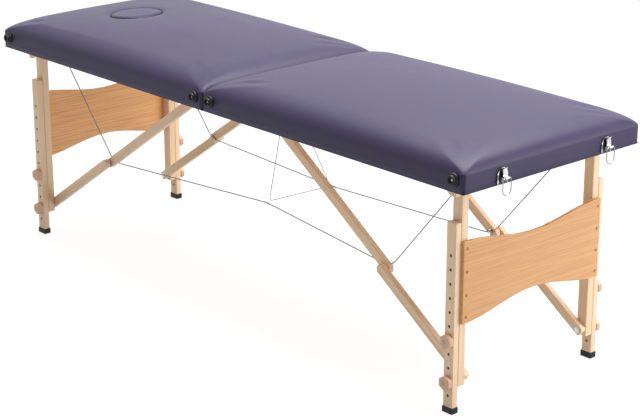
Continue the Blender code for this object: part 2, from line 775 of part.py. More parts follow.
def make_knob(name, side, lane, number, parent):
    """Six-sided wooden knob on the outer face of a lower leg."""
    centre = Vector((side * LEG_U, lane * (LOWER_LEG_OUT + GAP), hole_height(number)))
    knob_body = body(name, centre, parent)
    outline = arc((centre.x, centre.z), KNOB_RADIUS, 30, 330, 5)
    low, high = span(centre.y, centre.y + lane * KNOB_THICKNESS)
    knob = piece(name, prism(outline, "Y", low, high), knob_body, "beech")
    soften(knob, KNOB_BEVEL, 2)
    return knob


def make_end_panel(section, side, parent):
    """Plywood panel across both upper legs, with a dipped top edge and an arched bottom edge."""
    half = LOWER_LEG_IN - PANEL_END_GAP

    def edge(height, bow):
        points = []
        for step in range(PANEL_STEPS + 1):
            part = 2 * step / PANEL_STEPS - 1
            points.append((half * part, height + bow * (0.5 + 0.5 * math.cos(math.pi * part))))
        return points

    outline = edge(PANEL_BOTTOM, PANEL_BOTTOM_ARCH) + edge(PANEL_TOP, -PANEL_TOP_DIP)[::-1]
    low, high = span(side * (LEG_OUTER_U + GAP), side * (LEG_OUTER_U + GAP + PANEL_THICKNESS))
    panel = piece(f"{section}_end_panel", prism(outline, "X", low, high), parent, "plywood")
    soften(panel, PANEL_BEVEL)
    return panel


def knee_geometry():
    """Where the two struts lap, and how far each turns when the leg folds flat into the frame."""
    reach = BRACE_FOOT - BRACE_PIVOT
    length = reach.length
    arm = LEG_PIVOT - BRACE_FOOT_HEIGHT
    folded_foot = Vector((LEG_U - arm, 0, LEG_PIVOT))
    start = BRACE_PIVOT - folded_foot
    upper = (length**2 - start.length_squared) / (2 * (start.x + length))
    knee = BRACE_PIVOT + reach * (upper / length)
    upper_turn = math.atan2(-reach.z, reach.x)
    folded = BRACE_PIVOT + Vector((upper, 0, 0)) - folded_foot
    lower_turn = math.pi / 2 - upper_turn - math.atan2(folded.z, folded.x)
    return knee, upper_turn, lower_turn


def make_brace(name, side, start, end, lane, ys, parent):
    """Straight strut from its pivot to a little past the knee, with chamfered tips."""
    along = (end - start).normalized()
    across = Vector((-along.z, 0, along.x))
    length = (end - start).length
    half = BRACE_WIDTH / 2
    chamfer = BRACE_TIP_CHAMFER
    butt = half
    plan = [
        (-butt + chamfer / 2, -half),
        (length + BRACE_TIP - chamfer, -half),
        (length + BRACE_TIP, -half + chamfer),
        (length + BRACE_TIP, half - chamfer),
        (length + BRACE_TIP - chamfer, half),
        (-butt + chamfer / 2, half),
        (-butt, half - chamfer / 2),
        (-butt, -half + chamfer / 2),
    ]
    outline = []
    for run, rise in plan:
        point = start + along * run + across * rise
        outline.append((side * point.x, point.z))
    low, high = span(lane * ys[0], lane * ys[1])
    brace = piece(name, prism(outline, "Y", low, high), parent, "beech")
    soften(brace, LEG_BEVEL)
    return brace


def smooth_route(points, bend, corner_steps, run_steps):
    """Taut runs between the route's points, eased round each corner with a curve."""
    route = [Vector(points[0])]
    for i in range(1, len(points) - 1):
        corner = Vector(points[i])
        before = (Vector(points[i - 1]) - corner).normalized() * bend
        after = (Vector(points[i + 1]) - corner).normalized() * bend
        add_run(route, corner + before, run_steps)
        for step in range(1, corner_steps + 1):
            part = step / corner_steps
            eased = before * (1 - part) ** 2 + after * part**2
            route.append(corner + eased)
    add_run(route, Vector(points[-1]), run_steps)
    return route


def add_run(route, goal, steps):
    start = route[-1].copy()
    for step in range(1, steps + 1):
        route.append(start.lerp(goal, step / steps))


def make_tube(name, route, diameter, parent, finish):
    """A cable or cord: a bevelled curve with filled caps."""
    curve = bpy.data.curves.new(name, "CURVE")
    curve.dimensions = "3D"
    curve.bevel_depth = diameter / 2
    curve.bevel_resolution = 2
    curve.use_fill_caps = True
    spline = curve.splines.new("POLY")
    spline.points.add(len(route) - 1)
    base = world_place(parent)
    for point, place in zip(spline.points, route):
        point.co = (*(place - base), 1.0)
    obj = bpy.data.objects.new(name, curve)
    bpy.context.scene.collection.objects.link(obj)
    obj.parent = parent
    curve.materials.append(MATERIALS[finish])
    return obj


def make_cables(knee, parent):
    """A steel cable on each side, from batten to knee to knee to batten, and the elastic cord between them."""
    stay = Vector((BATTEN_U - knee.x, 0, BATTEN_BOTTOM - knee.z)).normalized()
    anchor_z = BATTEN_BOTTOM - GAP - stay.x * CABLE_DIAMETER / 2
    for lane_name, lane in LANES.items():
        lane_y = lane * CABLE_LANE
        route = [
            (-BATTEN_U, lane_y, anchor_z),
            (-knee.x, lane_y, knee.z),
            CABLE_MIDDLE[lane_name],
            (knee.x, lane_y, knee.z),
            (BATTEN_U, lane_y, anchor_z),
        ]
        make_tube(f"{lane_name}_cable", smooth_route(route, CABLE_BEND, 5, 3), CABLE_DIAMETER, parent, "steel")

    hang = (CABLE_DIAMETER + CORD_DIAMETER) / 2 + GAP
    apex_x = -HINGE_LEAF_WIDTH / 2
    apex_z = FRAME_BOTTOM - HINGE_LEAF - 2 * GAP - CORD_DIAMETER / 2
    near = Vector(CABLE_MIDDLE["near"]) + Vector((0, hang + CORD_BEND / 2, hang))
    far = Vector(CABLE_MIDDLE["far"]) + Vector((0, -hang - CORD_BEND / 2, hang))
    spacing = Vector((0, 2 * CORD_DIAMETER, 0))
    top = Vector((apex_x, 0, apex_z))
    route = smooth_route([top - spacing, near, far, top + spacing], CORD_BEND, 5, 4)
    make_tube("spreader_cord", route, CORD_DIAMETER, parent, "elastic")


def make_section(section, side, half_body):
    make_frame(section, side, half_body)
    make_deck(section, side, half_body)
    make_upholstery(section, side, half_body)
    make_bumpers(section, side, half_body)
    make_handle(section, side, half_body)
    make_hinge_leaf(section, side, half_body)


def make_legs(section, side, half_body, knee):
    """One folding leg frame: legs, knobs, end panel and the struts that hold it open."""
    legs = body(f"{section}_legs", (side * LEG_U, 0, LEG_PIVOT), half_body)
    uppers = body(f"{section}_upper_braces", (side * BRACE_PIVOT.x, 0, BRACE_PIVOT.z), half_body)
    lowers = body(f"{section}_lower_braces", (side * BRACE_FOOT.x, 0, BRACE_FOOT.z), legs)
    make_end_panel(section, side, legs)
    for lane_name, lane in LANES.items():
        name = f"{section}_{lane_name}"
        make_upper_leg(section, side, lane_name, lane, legs)
        slide = body(f"{name}_lower_leg", (side * LEG_U, lane * LOWER_LEG_OUT, 0), legs)
        make_lower_leg(section, side, lane_name, lane, slide)
        make_knob(f"{name}_high_knob", side, lane, HIGH_KNOB_HOLE, legs)
        make_knob(f"{name}_low_knob", side, lane, LOW_KNOB_HOLE, legs)
        upper_ys = (UPPER_BRACE_IN, UPPER_BRACE_OUT)
        lower_ys = (LOWER_BRACE_IN, LOWER_BRACE_OUT)
        make_brace(f"{name}_upper_brace", side, BRACE_PIVOT, knee, lane, upper_ys, uppers)
        make_brace(f"{name}_lower_brace", side, BRACE_FOOT, knee, lane, lower_ys, lowers)


clear_scene()
MATERIALS = make_finishes()
KNEE, UPPER_TURN, LOWER_TURN = knee_geometry()

head_half = body("head_half", (0, 0, 0))
pin_body = body("hinge_pin", (0, 0, HINGE_Z), head_half)
foot_half = body("foot_half", (0, 0, HINGE_Z), pin_body)
plug_body = body("face_plug", (HOLE_X, 0, FOAM_BOTTOM), head_half)

make_section("head", SIDES["head"], head_half)
make_section("foot", SIDES["foot"], foot_half)
make_plug(plug_body)
make_hinge_pin(pin_body)
for latch_lane, latch_sign in LANES.items():
    make_latch(latch_lane, latch_sign, foot_half)
    make_catch(latch_lane, latch_sign, head_half)
make_legs("head", SIDES["head"], head_half, KNEE)
make_legs("foot", SIDES["foot"], foot_half, KNEE)
make_cables(KNEE, pin_body)

print(f"knee at {KNEE.x:.4f} from the seam, {KNEE.z:.4f} above the floor")
print(f"upper brace turns {math.degrees(UPPER_TURN):.3f} degrees, lower {math.degrees(LOWER_TURN):.3f}")
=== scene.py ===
"""Dressed scene of the folding massage table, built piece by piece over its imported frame.

Metres, in the frame's own axes: +X to the foot end, +Y to the handle side, +Z up from the floor.
"""

import json
import math

import bmesh
import bpy
from mathutils import Matrix, Vector
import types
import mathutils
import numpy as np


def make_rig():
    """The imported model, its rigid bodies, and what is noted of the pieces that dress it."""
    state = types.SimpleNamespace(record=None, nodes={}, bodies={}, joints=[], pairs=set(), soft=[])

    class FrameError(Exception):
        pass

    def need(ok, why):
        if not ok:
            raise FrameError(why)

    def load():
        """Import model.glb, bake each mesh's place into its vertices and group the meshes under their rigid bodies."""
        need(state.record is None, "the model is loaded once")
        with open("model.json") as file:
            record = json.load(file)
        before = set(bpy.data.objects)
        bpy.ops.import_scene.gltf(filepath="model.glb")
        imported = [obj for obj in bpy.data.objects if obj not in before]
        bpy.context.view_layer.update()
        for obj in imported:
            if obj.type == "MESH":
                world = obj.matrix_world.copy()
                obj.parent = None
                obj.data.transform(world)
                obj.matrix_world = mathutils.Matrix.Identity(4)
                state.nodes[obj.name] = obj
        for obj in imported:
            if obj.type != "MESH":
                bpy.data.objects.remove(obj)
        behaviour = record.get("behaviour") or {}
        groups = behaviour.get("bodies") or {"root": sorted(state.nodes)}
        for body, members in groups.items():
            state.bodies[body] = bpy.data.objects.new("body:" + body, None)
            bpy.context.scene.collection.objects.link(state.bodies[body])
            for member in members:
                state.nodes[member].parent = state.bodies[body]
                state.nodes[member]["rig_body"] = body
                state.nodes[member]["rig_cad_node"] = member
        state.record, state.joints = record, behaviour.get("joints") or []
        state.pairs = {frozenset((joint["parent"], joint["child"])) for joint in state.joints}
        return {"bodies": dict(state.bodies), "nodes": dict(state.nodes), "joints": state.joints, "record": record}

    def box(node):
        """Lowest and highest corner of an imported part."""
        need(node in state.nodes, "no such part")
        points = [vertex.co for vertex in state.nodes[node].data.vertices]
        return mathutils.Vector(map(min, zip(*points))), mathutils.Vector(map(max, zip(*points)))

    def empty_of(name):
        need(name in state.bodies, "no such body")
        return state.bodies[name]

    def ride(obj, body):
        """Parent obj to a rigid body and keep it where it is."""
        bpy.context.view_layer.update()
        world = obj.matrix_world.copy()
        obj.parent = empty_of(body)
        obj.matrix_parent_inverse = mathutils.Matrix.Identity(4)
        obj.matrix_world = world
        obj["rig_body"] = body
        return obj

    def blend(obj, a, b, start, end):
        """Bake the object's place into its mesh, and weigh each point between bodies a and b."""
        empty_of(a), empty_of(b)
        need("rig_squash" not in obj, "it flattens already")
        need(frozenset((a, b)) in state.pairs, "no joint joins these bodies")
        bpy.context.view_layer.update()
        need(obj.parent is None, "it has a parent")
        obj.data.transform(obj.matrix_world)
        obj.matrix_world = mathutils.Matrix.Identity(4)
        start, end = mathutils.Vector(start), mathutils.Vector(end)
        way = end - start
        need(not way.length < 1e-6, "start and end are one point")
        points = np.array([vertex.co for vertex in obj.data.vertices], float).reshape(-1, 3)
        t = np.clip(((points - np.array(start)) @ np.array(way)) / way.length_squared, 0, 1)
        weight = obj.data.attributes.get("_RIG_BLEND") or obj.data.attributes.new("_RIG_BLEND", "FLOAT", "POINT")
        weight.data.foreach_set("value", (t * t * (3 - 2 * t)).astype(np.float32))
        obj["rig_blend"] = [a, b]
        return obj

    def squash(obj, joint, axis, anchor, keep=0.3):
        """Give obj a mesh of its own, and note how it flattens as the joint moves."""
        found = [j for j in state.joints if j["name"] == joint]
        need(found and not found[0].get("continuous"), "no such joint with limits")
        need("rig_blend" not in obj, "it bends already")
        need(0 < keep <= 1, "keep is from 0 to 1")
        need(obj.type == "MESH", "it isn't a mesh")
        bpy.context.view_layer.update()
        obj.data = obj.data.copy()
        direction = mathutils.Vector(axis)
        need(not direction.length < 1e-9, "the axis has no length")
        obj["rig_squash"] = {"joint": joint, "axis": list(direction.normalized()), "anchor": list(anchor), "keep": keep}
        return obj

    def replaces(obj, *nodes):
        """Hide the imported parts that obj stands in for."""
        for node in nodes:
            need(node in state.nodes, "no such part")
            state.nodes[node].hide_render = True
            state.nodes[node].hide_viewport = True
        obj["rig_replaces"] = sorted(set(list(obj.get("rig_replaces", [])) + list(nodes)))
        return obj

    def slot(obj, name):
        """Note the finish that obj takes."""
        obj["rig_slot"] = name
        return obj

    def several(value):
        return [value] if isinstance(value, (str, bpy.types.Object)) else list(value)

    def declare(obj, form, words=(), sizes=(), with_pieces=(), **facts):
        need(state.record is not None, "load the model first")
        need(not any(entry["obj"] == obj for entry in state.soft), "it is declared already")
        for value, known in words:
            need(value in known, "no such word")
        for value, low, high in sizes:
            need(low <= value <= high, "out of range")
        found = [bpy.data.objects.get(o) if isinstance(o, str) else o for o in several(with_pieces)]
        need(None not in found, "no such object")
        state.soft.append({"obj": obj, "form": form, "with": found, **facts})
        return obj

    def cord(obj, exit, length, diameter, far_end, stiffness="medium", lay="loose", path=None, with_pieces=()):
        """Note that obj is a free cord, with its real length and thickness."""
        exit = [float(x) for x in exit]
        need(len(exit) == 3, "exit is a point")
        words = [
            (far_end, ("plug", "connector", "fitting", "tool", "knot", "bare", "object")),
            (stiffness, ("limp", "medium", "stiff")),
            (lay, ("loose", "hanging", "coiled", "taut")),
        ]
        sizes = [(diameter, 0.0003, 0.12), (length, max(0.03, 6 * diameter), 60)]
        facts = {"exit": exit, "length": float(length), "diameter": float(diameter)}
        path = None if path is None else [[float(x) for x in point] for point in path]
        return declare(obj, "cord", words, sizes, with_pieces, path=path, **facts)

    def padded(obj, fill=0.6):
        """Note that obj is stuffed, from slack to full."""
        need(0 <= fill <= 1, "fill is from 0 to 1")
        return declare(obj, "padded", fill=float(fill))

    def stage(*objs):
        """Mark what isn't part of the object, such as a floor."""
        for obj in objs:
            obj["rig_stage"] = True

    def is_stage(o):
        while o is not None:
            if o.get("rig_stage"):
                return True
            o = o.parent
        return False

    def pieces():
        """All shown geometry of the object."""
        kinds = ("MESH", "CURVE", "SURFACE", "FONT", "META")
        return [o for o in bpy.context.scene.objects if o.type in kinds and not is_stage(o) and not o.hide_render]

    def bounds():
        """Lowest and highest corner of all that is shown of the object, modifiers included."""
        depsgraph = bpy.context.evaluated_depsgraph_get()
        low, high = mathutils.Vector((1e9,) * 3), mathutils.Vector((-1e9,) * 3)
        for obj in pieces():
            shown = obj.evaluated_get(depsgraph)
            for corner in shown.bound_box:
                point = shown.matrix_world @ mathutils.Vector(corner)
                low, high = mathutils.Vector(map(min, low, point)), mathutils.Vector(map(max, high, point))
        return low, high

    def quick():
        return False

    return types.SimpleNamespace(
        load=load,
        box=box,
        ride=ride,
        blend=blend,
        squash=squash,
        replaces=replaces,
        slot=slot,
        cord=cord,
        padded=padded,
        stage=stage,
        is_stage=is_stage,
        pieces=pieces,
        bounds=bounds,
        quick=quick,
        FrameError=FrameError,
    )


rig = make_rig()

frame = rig.load()
cad_low, cad_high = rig.bounds()

# Camera.
# A long lens from a standing person's height, off the near side of the foot end. Place, turn and lens are
# fitted to the corners of the top, the feet and the latches in the photograph.
camera_place = Vector((3.5981, -3.1152, 1.8532))
camera_turn = 2.4121
camera_drop = 0.3281
focal_pixels = 1841.84
photo_width = 640

camera_data = bpy.data.cameras.new("photograph")
camera_data.sensor_width = 36.0
camera_data.sensor_fit = "HORIZONTAL"
camera_data.lens = focal_pixels / photo_width * camera_data.sensor_width
camera = bpy.data.objects.new("photograph", camera_data)
bpy.context.scene.collection.objects.link(camera)
sight = Vector(
    (
        math.cos(camera_drop) * math.cos(camera_turn),
        math.cos(camera_drop) * math.sin(camera_turn),
        -math.sin(camera_drop),
    )
)
camera.location = camera_place
camera.rotation_mode = "QUATERNION"
camera.rotation_quaternion = sight.to_track_quat("-Z", "Y")
bpy.context.scene.camera = camera


# Steel cables.
# A plastic-coated wire rope on each long side runs from the head batten down to the knee of the brace, along
# to the other knee and up to the foot batten. An eye turns it at each knee, and a sleeve marks its middle.
class Value:
    """One output of a node. Arithmetic on it adds Math nodes to the same material."""

    def __init__(self, finish, socket):
        self.finish = finish
        self.socket = socket

    def math(self, operation, first, second=None):
        values = {0: first}
        if second is not None:
            values[1] = second
        return self.finish.node("ShaderNodeMath", {"operation": operation}, values)

    def __add__(self, other):
        return self.math("ADD", self, other)

    def __radd__(self, other):
        return self.math("ADD", other, self)

    def __sub__(self, other):
        return self.math("SUBTRACT", self, other)

    def __rsub__(self, other):
        return self.math("SUBTRACT", other, self)

    def __mul__(self, other):
        return self.math("MULTIPLY", self, other)

    def __rmul__(self, other):
        return self.math("MULTIPLY", other, self)

    def __gt__(self, other):
        return self.math("GREATER_THAN", self, other)

    def sine(self):
        return self.math("SINE", self)

    def remainder(self, other):
        return self.math("MODULO", self, other)

    def absolute(self):
        return self.math("ABSOLUTE", self)


class Finish:
    """A material with one Principled shader, and the one method that adds nodes to it."""

    def __init__(self, name, **sockets):
        self.material = bpy.data.materials.new(name)
        self.material.use_nodes = True
        self.tree = self.material.node_tree
        self.shader = self.tree.nodes["Principled BSDF"]
        for socket, value in sockets.items():
            self.set(socket.replace("_", " "), value)

    def set(self, socket, value):
        """Sets a shader socket to a number, a colour or another node's output."""
        self.fill(self.shader.inputs[socket], value)

    def fill(self, socket, value):
        if isinstance(value, Value):
            self.tree.links.new(value.socket, socket)
        elif isinstance(value, tuple) and len(value) == 3 and socket.type == "RGBA":
            socket.default_value = (*value, 1.0)
        else:
            socket.default_value = value

    def node(self, kind, settings=None, inputs=None, output=0):
        made = self.tree.nodes.new(kind)
        for setting, value in (settings or {}).items():
            if setting == "stops":
                ramp = made.color_ramp.elements
                while len(ramp) < len(value):
                    ramp.new(0.5)
                for element, (position, colour) in zip(ramp, value):
                    element.position = position
                    element.color = (*colour, 1.0)
            else:
                setattr(made, setting, value)
        for socket, value in (inputs or {}).items():
            self.fill(made.inputs[socket], value)
        return Value(self, made.outputs[output])

    def place(self, turn=(0, 0, 0)):
        """Object coordinates, turned so that a grain lies along X."""
        where = self.node("ShaderNodeTexCoord", output="Object")
        if turn == (0, 0, 0):
            return where
        return self.node("ShaderNodeMapping", None, {"Vector": where, "Rotation": turn})

    def stretch(self, where, along, across, third=None):
        """Coordinates scaled to so many repeats a metre along X and across it."""
        scale = (along, across, across if third is None else third)
        return self.node("ShaderNodeMapping", None, {"Vector": where, "Scale": scale})

    def noise(self, where, scale, detail=2.0, roughness=0.5, distortion=0.0):
        values = {"Scale": scale, "Detail": detail, "Roughness": roughness, "Distortion": distortion}
        return self.node("ShaderNodeTexNoise", None, {"Vector": where, **values})

    def ramp(self, factor, *stops):
        return self.node("ShaderNodeValToRGB", {"stops": stops}, {"Fac": factor})

    def tint(self, factor, *stops):
        """Colours the surface by a ramp of (position, colour) stops."""
        self.set("Base Color", self.ramp(factor, *stops))

    def mix(self, factor, first, second):
        return self.node(
            "ShaderNodeMix", {"data_type": "RGBA"}, {0: factor, 6: first, 7: second}, output=2
        )

    def bump(self, height, strength, distance):
        normal = self.node(
            "ShaderNodeBump", None, {"Height": height, "Strength": strength, "Distance": distance}
        )
        self.set("Normal", normal)


def mottled(name, scale, detail, dark, pale, roughness, vary, stops=(0.3, 0.7), **sockets):
    """A finish that wanders from a dark tone to a pale one and is rougher where it is pale."""
    finish = Finish(name, **sockets)
    tone = finish.noise(finish.place(), scale, detail)
    finish.tint(tone, (stops[0], dark), (stops[1], pale))
    finish.set("Roughness", roughness + vary * tone)
    return finish


def add_piece(name, bm, finish, slot, body=None, smooth_angle=40):
    """A finished mesh at the origin, smooth between its sharp edges, riding on a body of the frame."""
    mesh = bpy.data.meshes.new(name)
    bm.to_mesh(mesh)
    bm.free()
    mesh.shade_smooth()
    mesh.set_sharp_from_angle(angle=math.radians(smooth_angle))
    mesh.materials.append(finish.material)
    piece = bpy.data.objects.new(name, mesh)
    bpy.context.scene.collection.objects.link(piece)
    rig.slot(piece, slot)
    if body:
        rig.ride(piece, body)
    return piece


def spun(bm, place, axis, segments):
    """Spins a mesh's outline once round Z and stands the result on an axis at a place."""
    bmesh.ops.spin(
        bm,
        geom=bm.verts[:] + bm.edges[:],
        cent=(0, 0, 0),
        axis=(0, 0, 1),
        angle=math.tau,
        steps=segments,
        use_merge=True,
    )
    bmesh.ops.remove_doubles(bm, verts=bm.verts, dist=1e-6)
    bmesh.ops.recalc_face_normals(bm, faces=bm.faces)
    stand = Vector(axis).to_track_quat("Z", "Y").to_matrix().to_4x4()
    bmesh.ops.transform(bm, matrix=Matrix.Translation(place) @ stand, verts=bm.verts)
    return bm


def turned(profile, place, axis, segments=24):
    """A profile of (radius, height) points spun round an axis through a place."""
    bm = bmesh.new()
    points = [bm.verts.new((radius, 0, height)) for radius, height in profile]
    for pair in zip(points[:-1], points[1:]):
        bm.edges.new(pair)
    return spun(bm, place, axis, segments)


def ring(place, axis, radius, wire, segments=28, sides=10):
    """A wire ring round an axis."""
    bm = bmesh.new()
    bmesh.ops.create_circle(bm, segments=sides, radius=wire / 2)
    stand = Matrix.Rotation(math.pi / 2, 3, "X")
    bmesh.ops.rotate(bm, verts=bm.verts, cent=(0, 0, 0), matrix=stand)
    bmesh.ops.translate(bm, verts=bm.verts, vec=(radius, 0, 0))
    return spun(bm, place, axis, segments)


def gather(shapes):
    """Several shapes in one mesh."""
    whole = bmesh.new()
    for shape in shapes:
        mesh = bpy.data.meshes.new("shape")
        shape.to_mesh(mesh)
        shape.free()
        whole.from_mesh(mesh)
        bpy.data.meshes.remove(mesh)
    return whole


def eased_route(points, bend, corner_steps, run_steps):
    """Taut runs between points, eased round each corner. Returns the route and each corner's middle."""
    route = [Vector(points[0])]
    middles = []
    for i in range(1, len(points) - 1):
        corner = Vector(points[i])
        before = (Vector(points[i - 1]) - corner).normalized() * bend
        after = (Vector(points[i + 1]) - corner).normalized() * bend
        start = route[-1].copy()
        for step in range(1, run_steps + 1):
            route.append(start.lerp(corner + before, step / run_steps))
        for step in range(1, corner_steps + 1):
            part = step / corner_steps
            route.append(corner + before * (1 - part) ** 2 + after * part**2)
            if step == corner_steps // 2:
                middles.append(len(route) - 1)
    start = route[-1].copy()
    for step in range(1, run_steps + 1):
        route.append(start.lerp(Vector(points[-1]), step / run_steps))
    return route, middles


def tube(name, path, diameter, finish, slot):
    """A round mesh tube along a path, with closed ends."""
    curve = bpy.data.curves.new(name, "CURVE")
    curve.dimensions = "3D"
    curve.bevel_depth = diameter / 2
    curve.bevel_resolution = 4
    curve.use_fill_caps = True
    spline = curve.splines.new("POLY")
    spline.points.add(len(path) - 1)
    for point, place in zip(spline.points, path):
        point.co = (*place, 1.0)
    holder = bpy.data.objects.new(name + "_line", curve)
    bpy.context.scene.collection.objects.link(holder)
    mesh = bpy.data.meshes.new_from_object(holder.evaluated_get(bpy.context.evaluated_depsgraph_get()))
    bpy.data.objects.remove(holder)
    bpy.data.curves.remove(curve)
    mesh.name = name
    mesh.shade_smooth()
    mesh.set_sharp_from_angle(angle=math.radians(60))
    mesh.materials.clear()
    mesh.materials.append(finish.material)
    piece = bpy.data.objects.new(name, mesh)
    bpy.context.scene.collection.objects.link(piece)
    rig.slot(piece, slot)
    return piece


def run_length(path):
    return sum((b - a).length for a, b in zip(path[:-1], path[1:]))


cable_steel = Finish("coated wire rope", Metallic=0.25, Roughness=0.45)
strand = cable_steel.noise(cable_steel.place(), 420.0, 2.0)
cable_steel.tint(strand, (0.35, (0.20, 0.20, 0.21)), (0.65, (0.34, 0.34, 0.35)))
cable_steel.bump(strand, 0.3, 0.0004)

bright_steel = mottled(
    "plated steel", 160.0, 3.0, (0.52, 0.52, 0.54), (0.70, 0.70, 0.72), 0.22, 0.15, Metallic=1.0
)

sections = {"head": -1, "foot": 1}
lanes = {"near": -1, "far": 1}
fold = "seam_hinge_foot_leaf"
joint_places = {joint["name"]: Vector(joint["pos_m"]) for joint in frame["joints"] if "pos_m" in joint}
brace_pivot = joint_places["foot_upper_braces_fold"]
brace_foot = joint_places["foot_lower_braces_fold"]
brace_line = (brace_foot - brace_pivot).normalized()
knee_share = 0.6421
knee = brace_pivot + (brace_foot - brace_pivot) * knee_share
batten_reach = 0.865
batten_bottom = 0.6107
cable_diameter = 0.003
cable_lane = 0.1802
cable_bend = 0.03
bend_points = 8
run_points = 6
stay_slack = 1.15
tie_keep = 0.02
cable_middle = {"near": Vector((0, -0.09, 0.272)), "far": Vector((0, 0.148, 0.266))}
ferrule_profile = [
    (0.0016, -0.009),
    (0.0034, -0.009),
    (0.0036, -0.004),
    (0.003, 0.0),
    (0.0036, 0.004),
    (0.0034, 0.009),
    (0.0016, 0.009),
]
eye_radius = 0.0062
eye_wire = 0.0022
eye_lead = 0.004
anchor_radius = 0.8 * eye_radius
anchor_lift = 0.001

for lane_name, lane in lanes.items():
    lane_y = lane * cable_lane
    corners = [
        (-batten_reach, lane_y, batten_bottom),
        (-knee.x, lane_y, knee.z),
        cable_middle[lane_name],
        (knee.x, lane_y, knee.z),
        (batten_reach, lane_y, batten_bottom),
    ]
    route, middles = eased_route(corners, cable_bend, bend_points, run_points)
    head_bend, seam_bend, foot_bend = middles
    runs = {
        "head": (route[: head_bend + 1], route[head_bend : seam_bend + 1]),
        "foot": (route[: foot_bend - 1 : -1], route[foot_bend : seam_bend - 1 : -1]),
    }
    for section, (stay_path, tie_path) in runs.items():
        side = sections[section]
        braces = f"{section}_upper_braces"
        stay = tube(f"{section}_{lane_name}_stay", stay_path, cable_diameter, cable_steel, "steel")
        length = run_length(stay_path)
        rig.cord(stay, stay_path[0], length, cable_diameter, "object", "stiff", "taut", path=stay_path)
        turn_end = stay_path[0] + (stay_path[-1] - stay_path[0]) * stay_slack
        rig.blend(stay, f"{section}_half", braces, stay_path[0], turn_end)
        tie = tube(f"{section}_{lane_name}_tie", tie_path, cable_diameter, cable_steel, "steel")
        length = run_length(tie_path)
        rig.cord(tie, tie_path[0], length, cable_diameter, "object", "stiff", "taut", path=tie_path)
        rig.ride(tie, braces)
        across_brace = Vector((-side * brace_line.z, 0, brace_line.x))
        anchor = (side * knee.x, lane_y, knee.z)
        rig.squash(tie, fold, across_brace, anchor, keep=tie_keep)
        eye_place = stay_path[-1] - Vector((0, lane * eye_lead, 0))
        eye_axis = (tie_path[1] - stay_path[-2]).normalized()
        add_piece(
            f"{section}_{lane_name}_knee_eye",
            ring(eye_place, eye_axis, eye_radius, eye_wire),
            bright_steel,
            "steel",
            braces,
        )
        anchor_place = stay_path[0] + Vector((0, 0, anchor_lift))
        add_piece(
            f"{section}_{lane_name}_cable_anchor",
            ring(anchor_place, (side, 0, 0), anchor_radius, eye_wire),
            bright_steel,
            "steel",
            f"{section}_half",
        )
        if section == "head":
            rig.replaces(tie, f"{lane_name}_cable")
            sleeve_axis = (tie_path[-1] - tie_path[-2]).normalized()
            sleeve = add_piece(
                f"{lane_name}_cable_sleeve",
                turned(ferrule_profile, tie_path[-1], sleeve_axis),
                bright_steel,
                "steel",
                braces,
            )
            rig.squash(sleeve, fold, across_brace, anchor, keep=tie_keep)

# Elastic cord.
# A thin pale elastic hangs as a V from under the seam, holds both cables up at their middles and runs across
# between them, so that the slack cables draw in as the table folds.
cord_diameter = 0.002
cord_bend = 0.012
cord_apex = Vector((-0.015, 0.0, 0.5664))
cord_hang = 0.0028
cord_keep = 0.004

elastic = Finish("pale elastic", Roughness=0.85)
braid = elastic.noise(elastic.place(), 700.0, 1.0)
elastic.tint(braid, (0.3, (0.27, 0.27, 0.27)), (0.7, (0.42, 0.42, 0.41)))

apex_step = Vector((0, 2 * cord_diameter, 0))
cord_near = cable_middle["near"] + Vector((0, cord_hang + cord_bend / 2, cord_hang))
cord_far = cable_middle["far"] + Vector((0, -cord_hang - cord_bend / 2, cord_hang))
cord_corners = [cord_apex - apex_step, cord_near, cord_far, cord_apex + apex_step]
cord_route = eased_route(cord_corners, cord_bend, bend_points, run_points)[0]
spreader = tube("spreader_strand", cord_route, cord_diameter, elastic, "elastic")
length = run_length(cord_route)
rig.cord(spreader, cord_route[0], length, cord_diameter, "object", "limp", "taut", path=cord_route)
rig.replaces(spreader, "spreader_cord")
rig.ride(spreader, "head_half")
cord_draw = cord_apex - cable_middle["near"]
cord_draw.y = 0
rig.squash(spreader, fold, cord_draw, cord_apex, keep=cord_keep)

# Padded top.
# Each section is a foam pad on a plywood deck, under a sheet of satin vinyl drawn down over the rails and
# stapled below. It is crowned, rolls over every edge and puckers at the corners and round the face hole.
frame_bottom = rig.box("foot_cover")[0].z
side_top = 0.613
roll_width = 0.053
roll_height = 0.032
crown_height = 0.023
crown_fullness = 0.8
corner_radius = 0.01
corner_spread = 2.4
grid_lengthwise = 130
grid_across = 96
grid_crowding = 1.7
skirt_drops = (0.3, 0.7, 1.0)
vinyl_thickness = 0.0011
hole_margin = 0.034
hole_rings = 9
hole_dip = 0.007
hole_dip_reach = 0.014
hole_clearance = 0.0012
hole_dip_power = 2.4
hole_lining = 0.010
hole_ripple = 0.0003
ripple_reach = 0.03
ripple_power = 1.5
ripple_folds = (17, 29)
ripple_lift = 1.6
pleat_depth = 0.0009
pleat_reach = 0.07
pleat_folds = 17
settle_frames = 16
settle_pressure = 1.6
settle_reach = 0.002
held_skirt = 0.004
held_rim = 0.003

vinyl = Finish("satin vinyl", Specular_IOR_Level=0.28)
skin = vinyl.place()
pores = vinyl.noise(skin, 1100.0, 2.0, 0.6)
creases = {"Vector": skin, "Scale": 700.0}
leather = vinyl.node("ShaderNodeTexVoronoi", {"feature": "DISTANCE_TO_EDGE"}, creases)
drape = vinyl.noise(vinyl.stretch(skin, 1.0, 2.2, 1.6), 5.0, 3.0, 0.5, 0.4)
vinyl.tint(drape, (0.3, (0.0256, 0.0186, 0.0565)), (0.7, (0.0296, 0.0220, 0.0640)))
vinyl.set("Roughness", 0.37 + 0.1 * drape + 0.05 * pores)
vinyl.bump(pores * 0.2 + leather * 0.5 + drape * 1.2, 0.22, 0.0012)

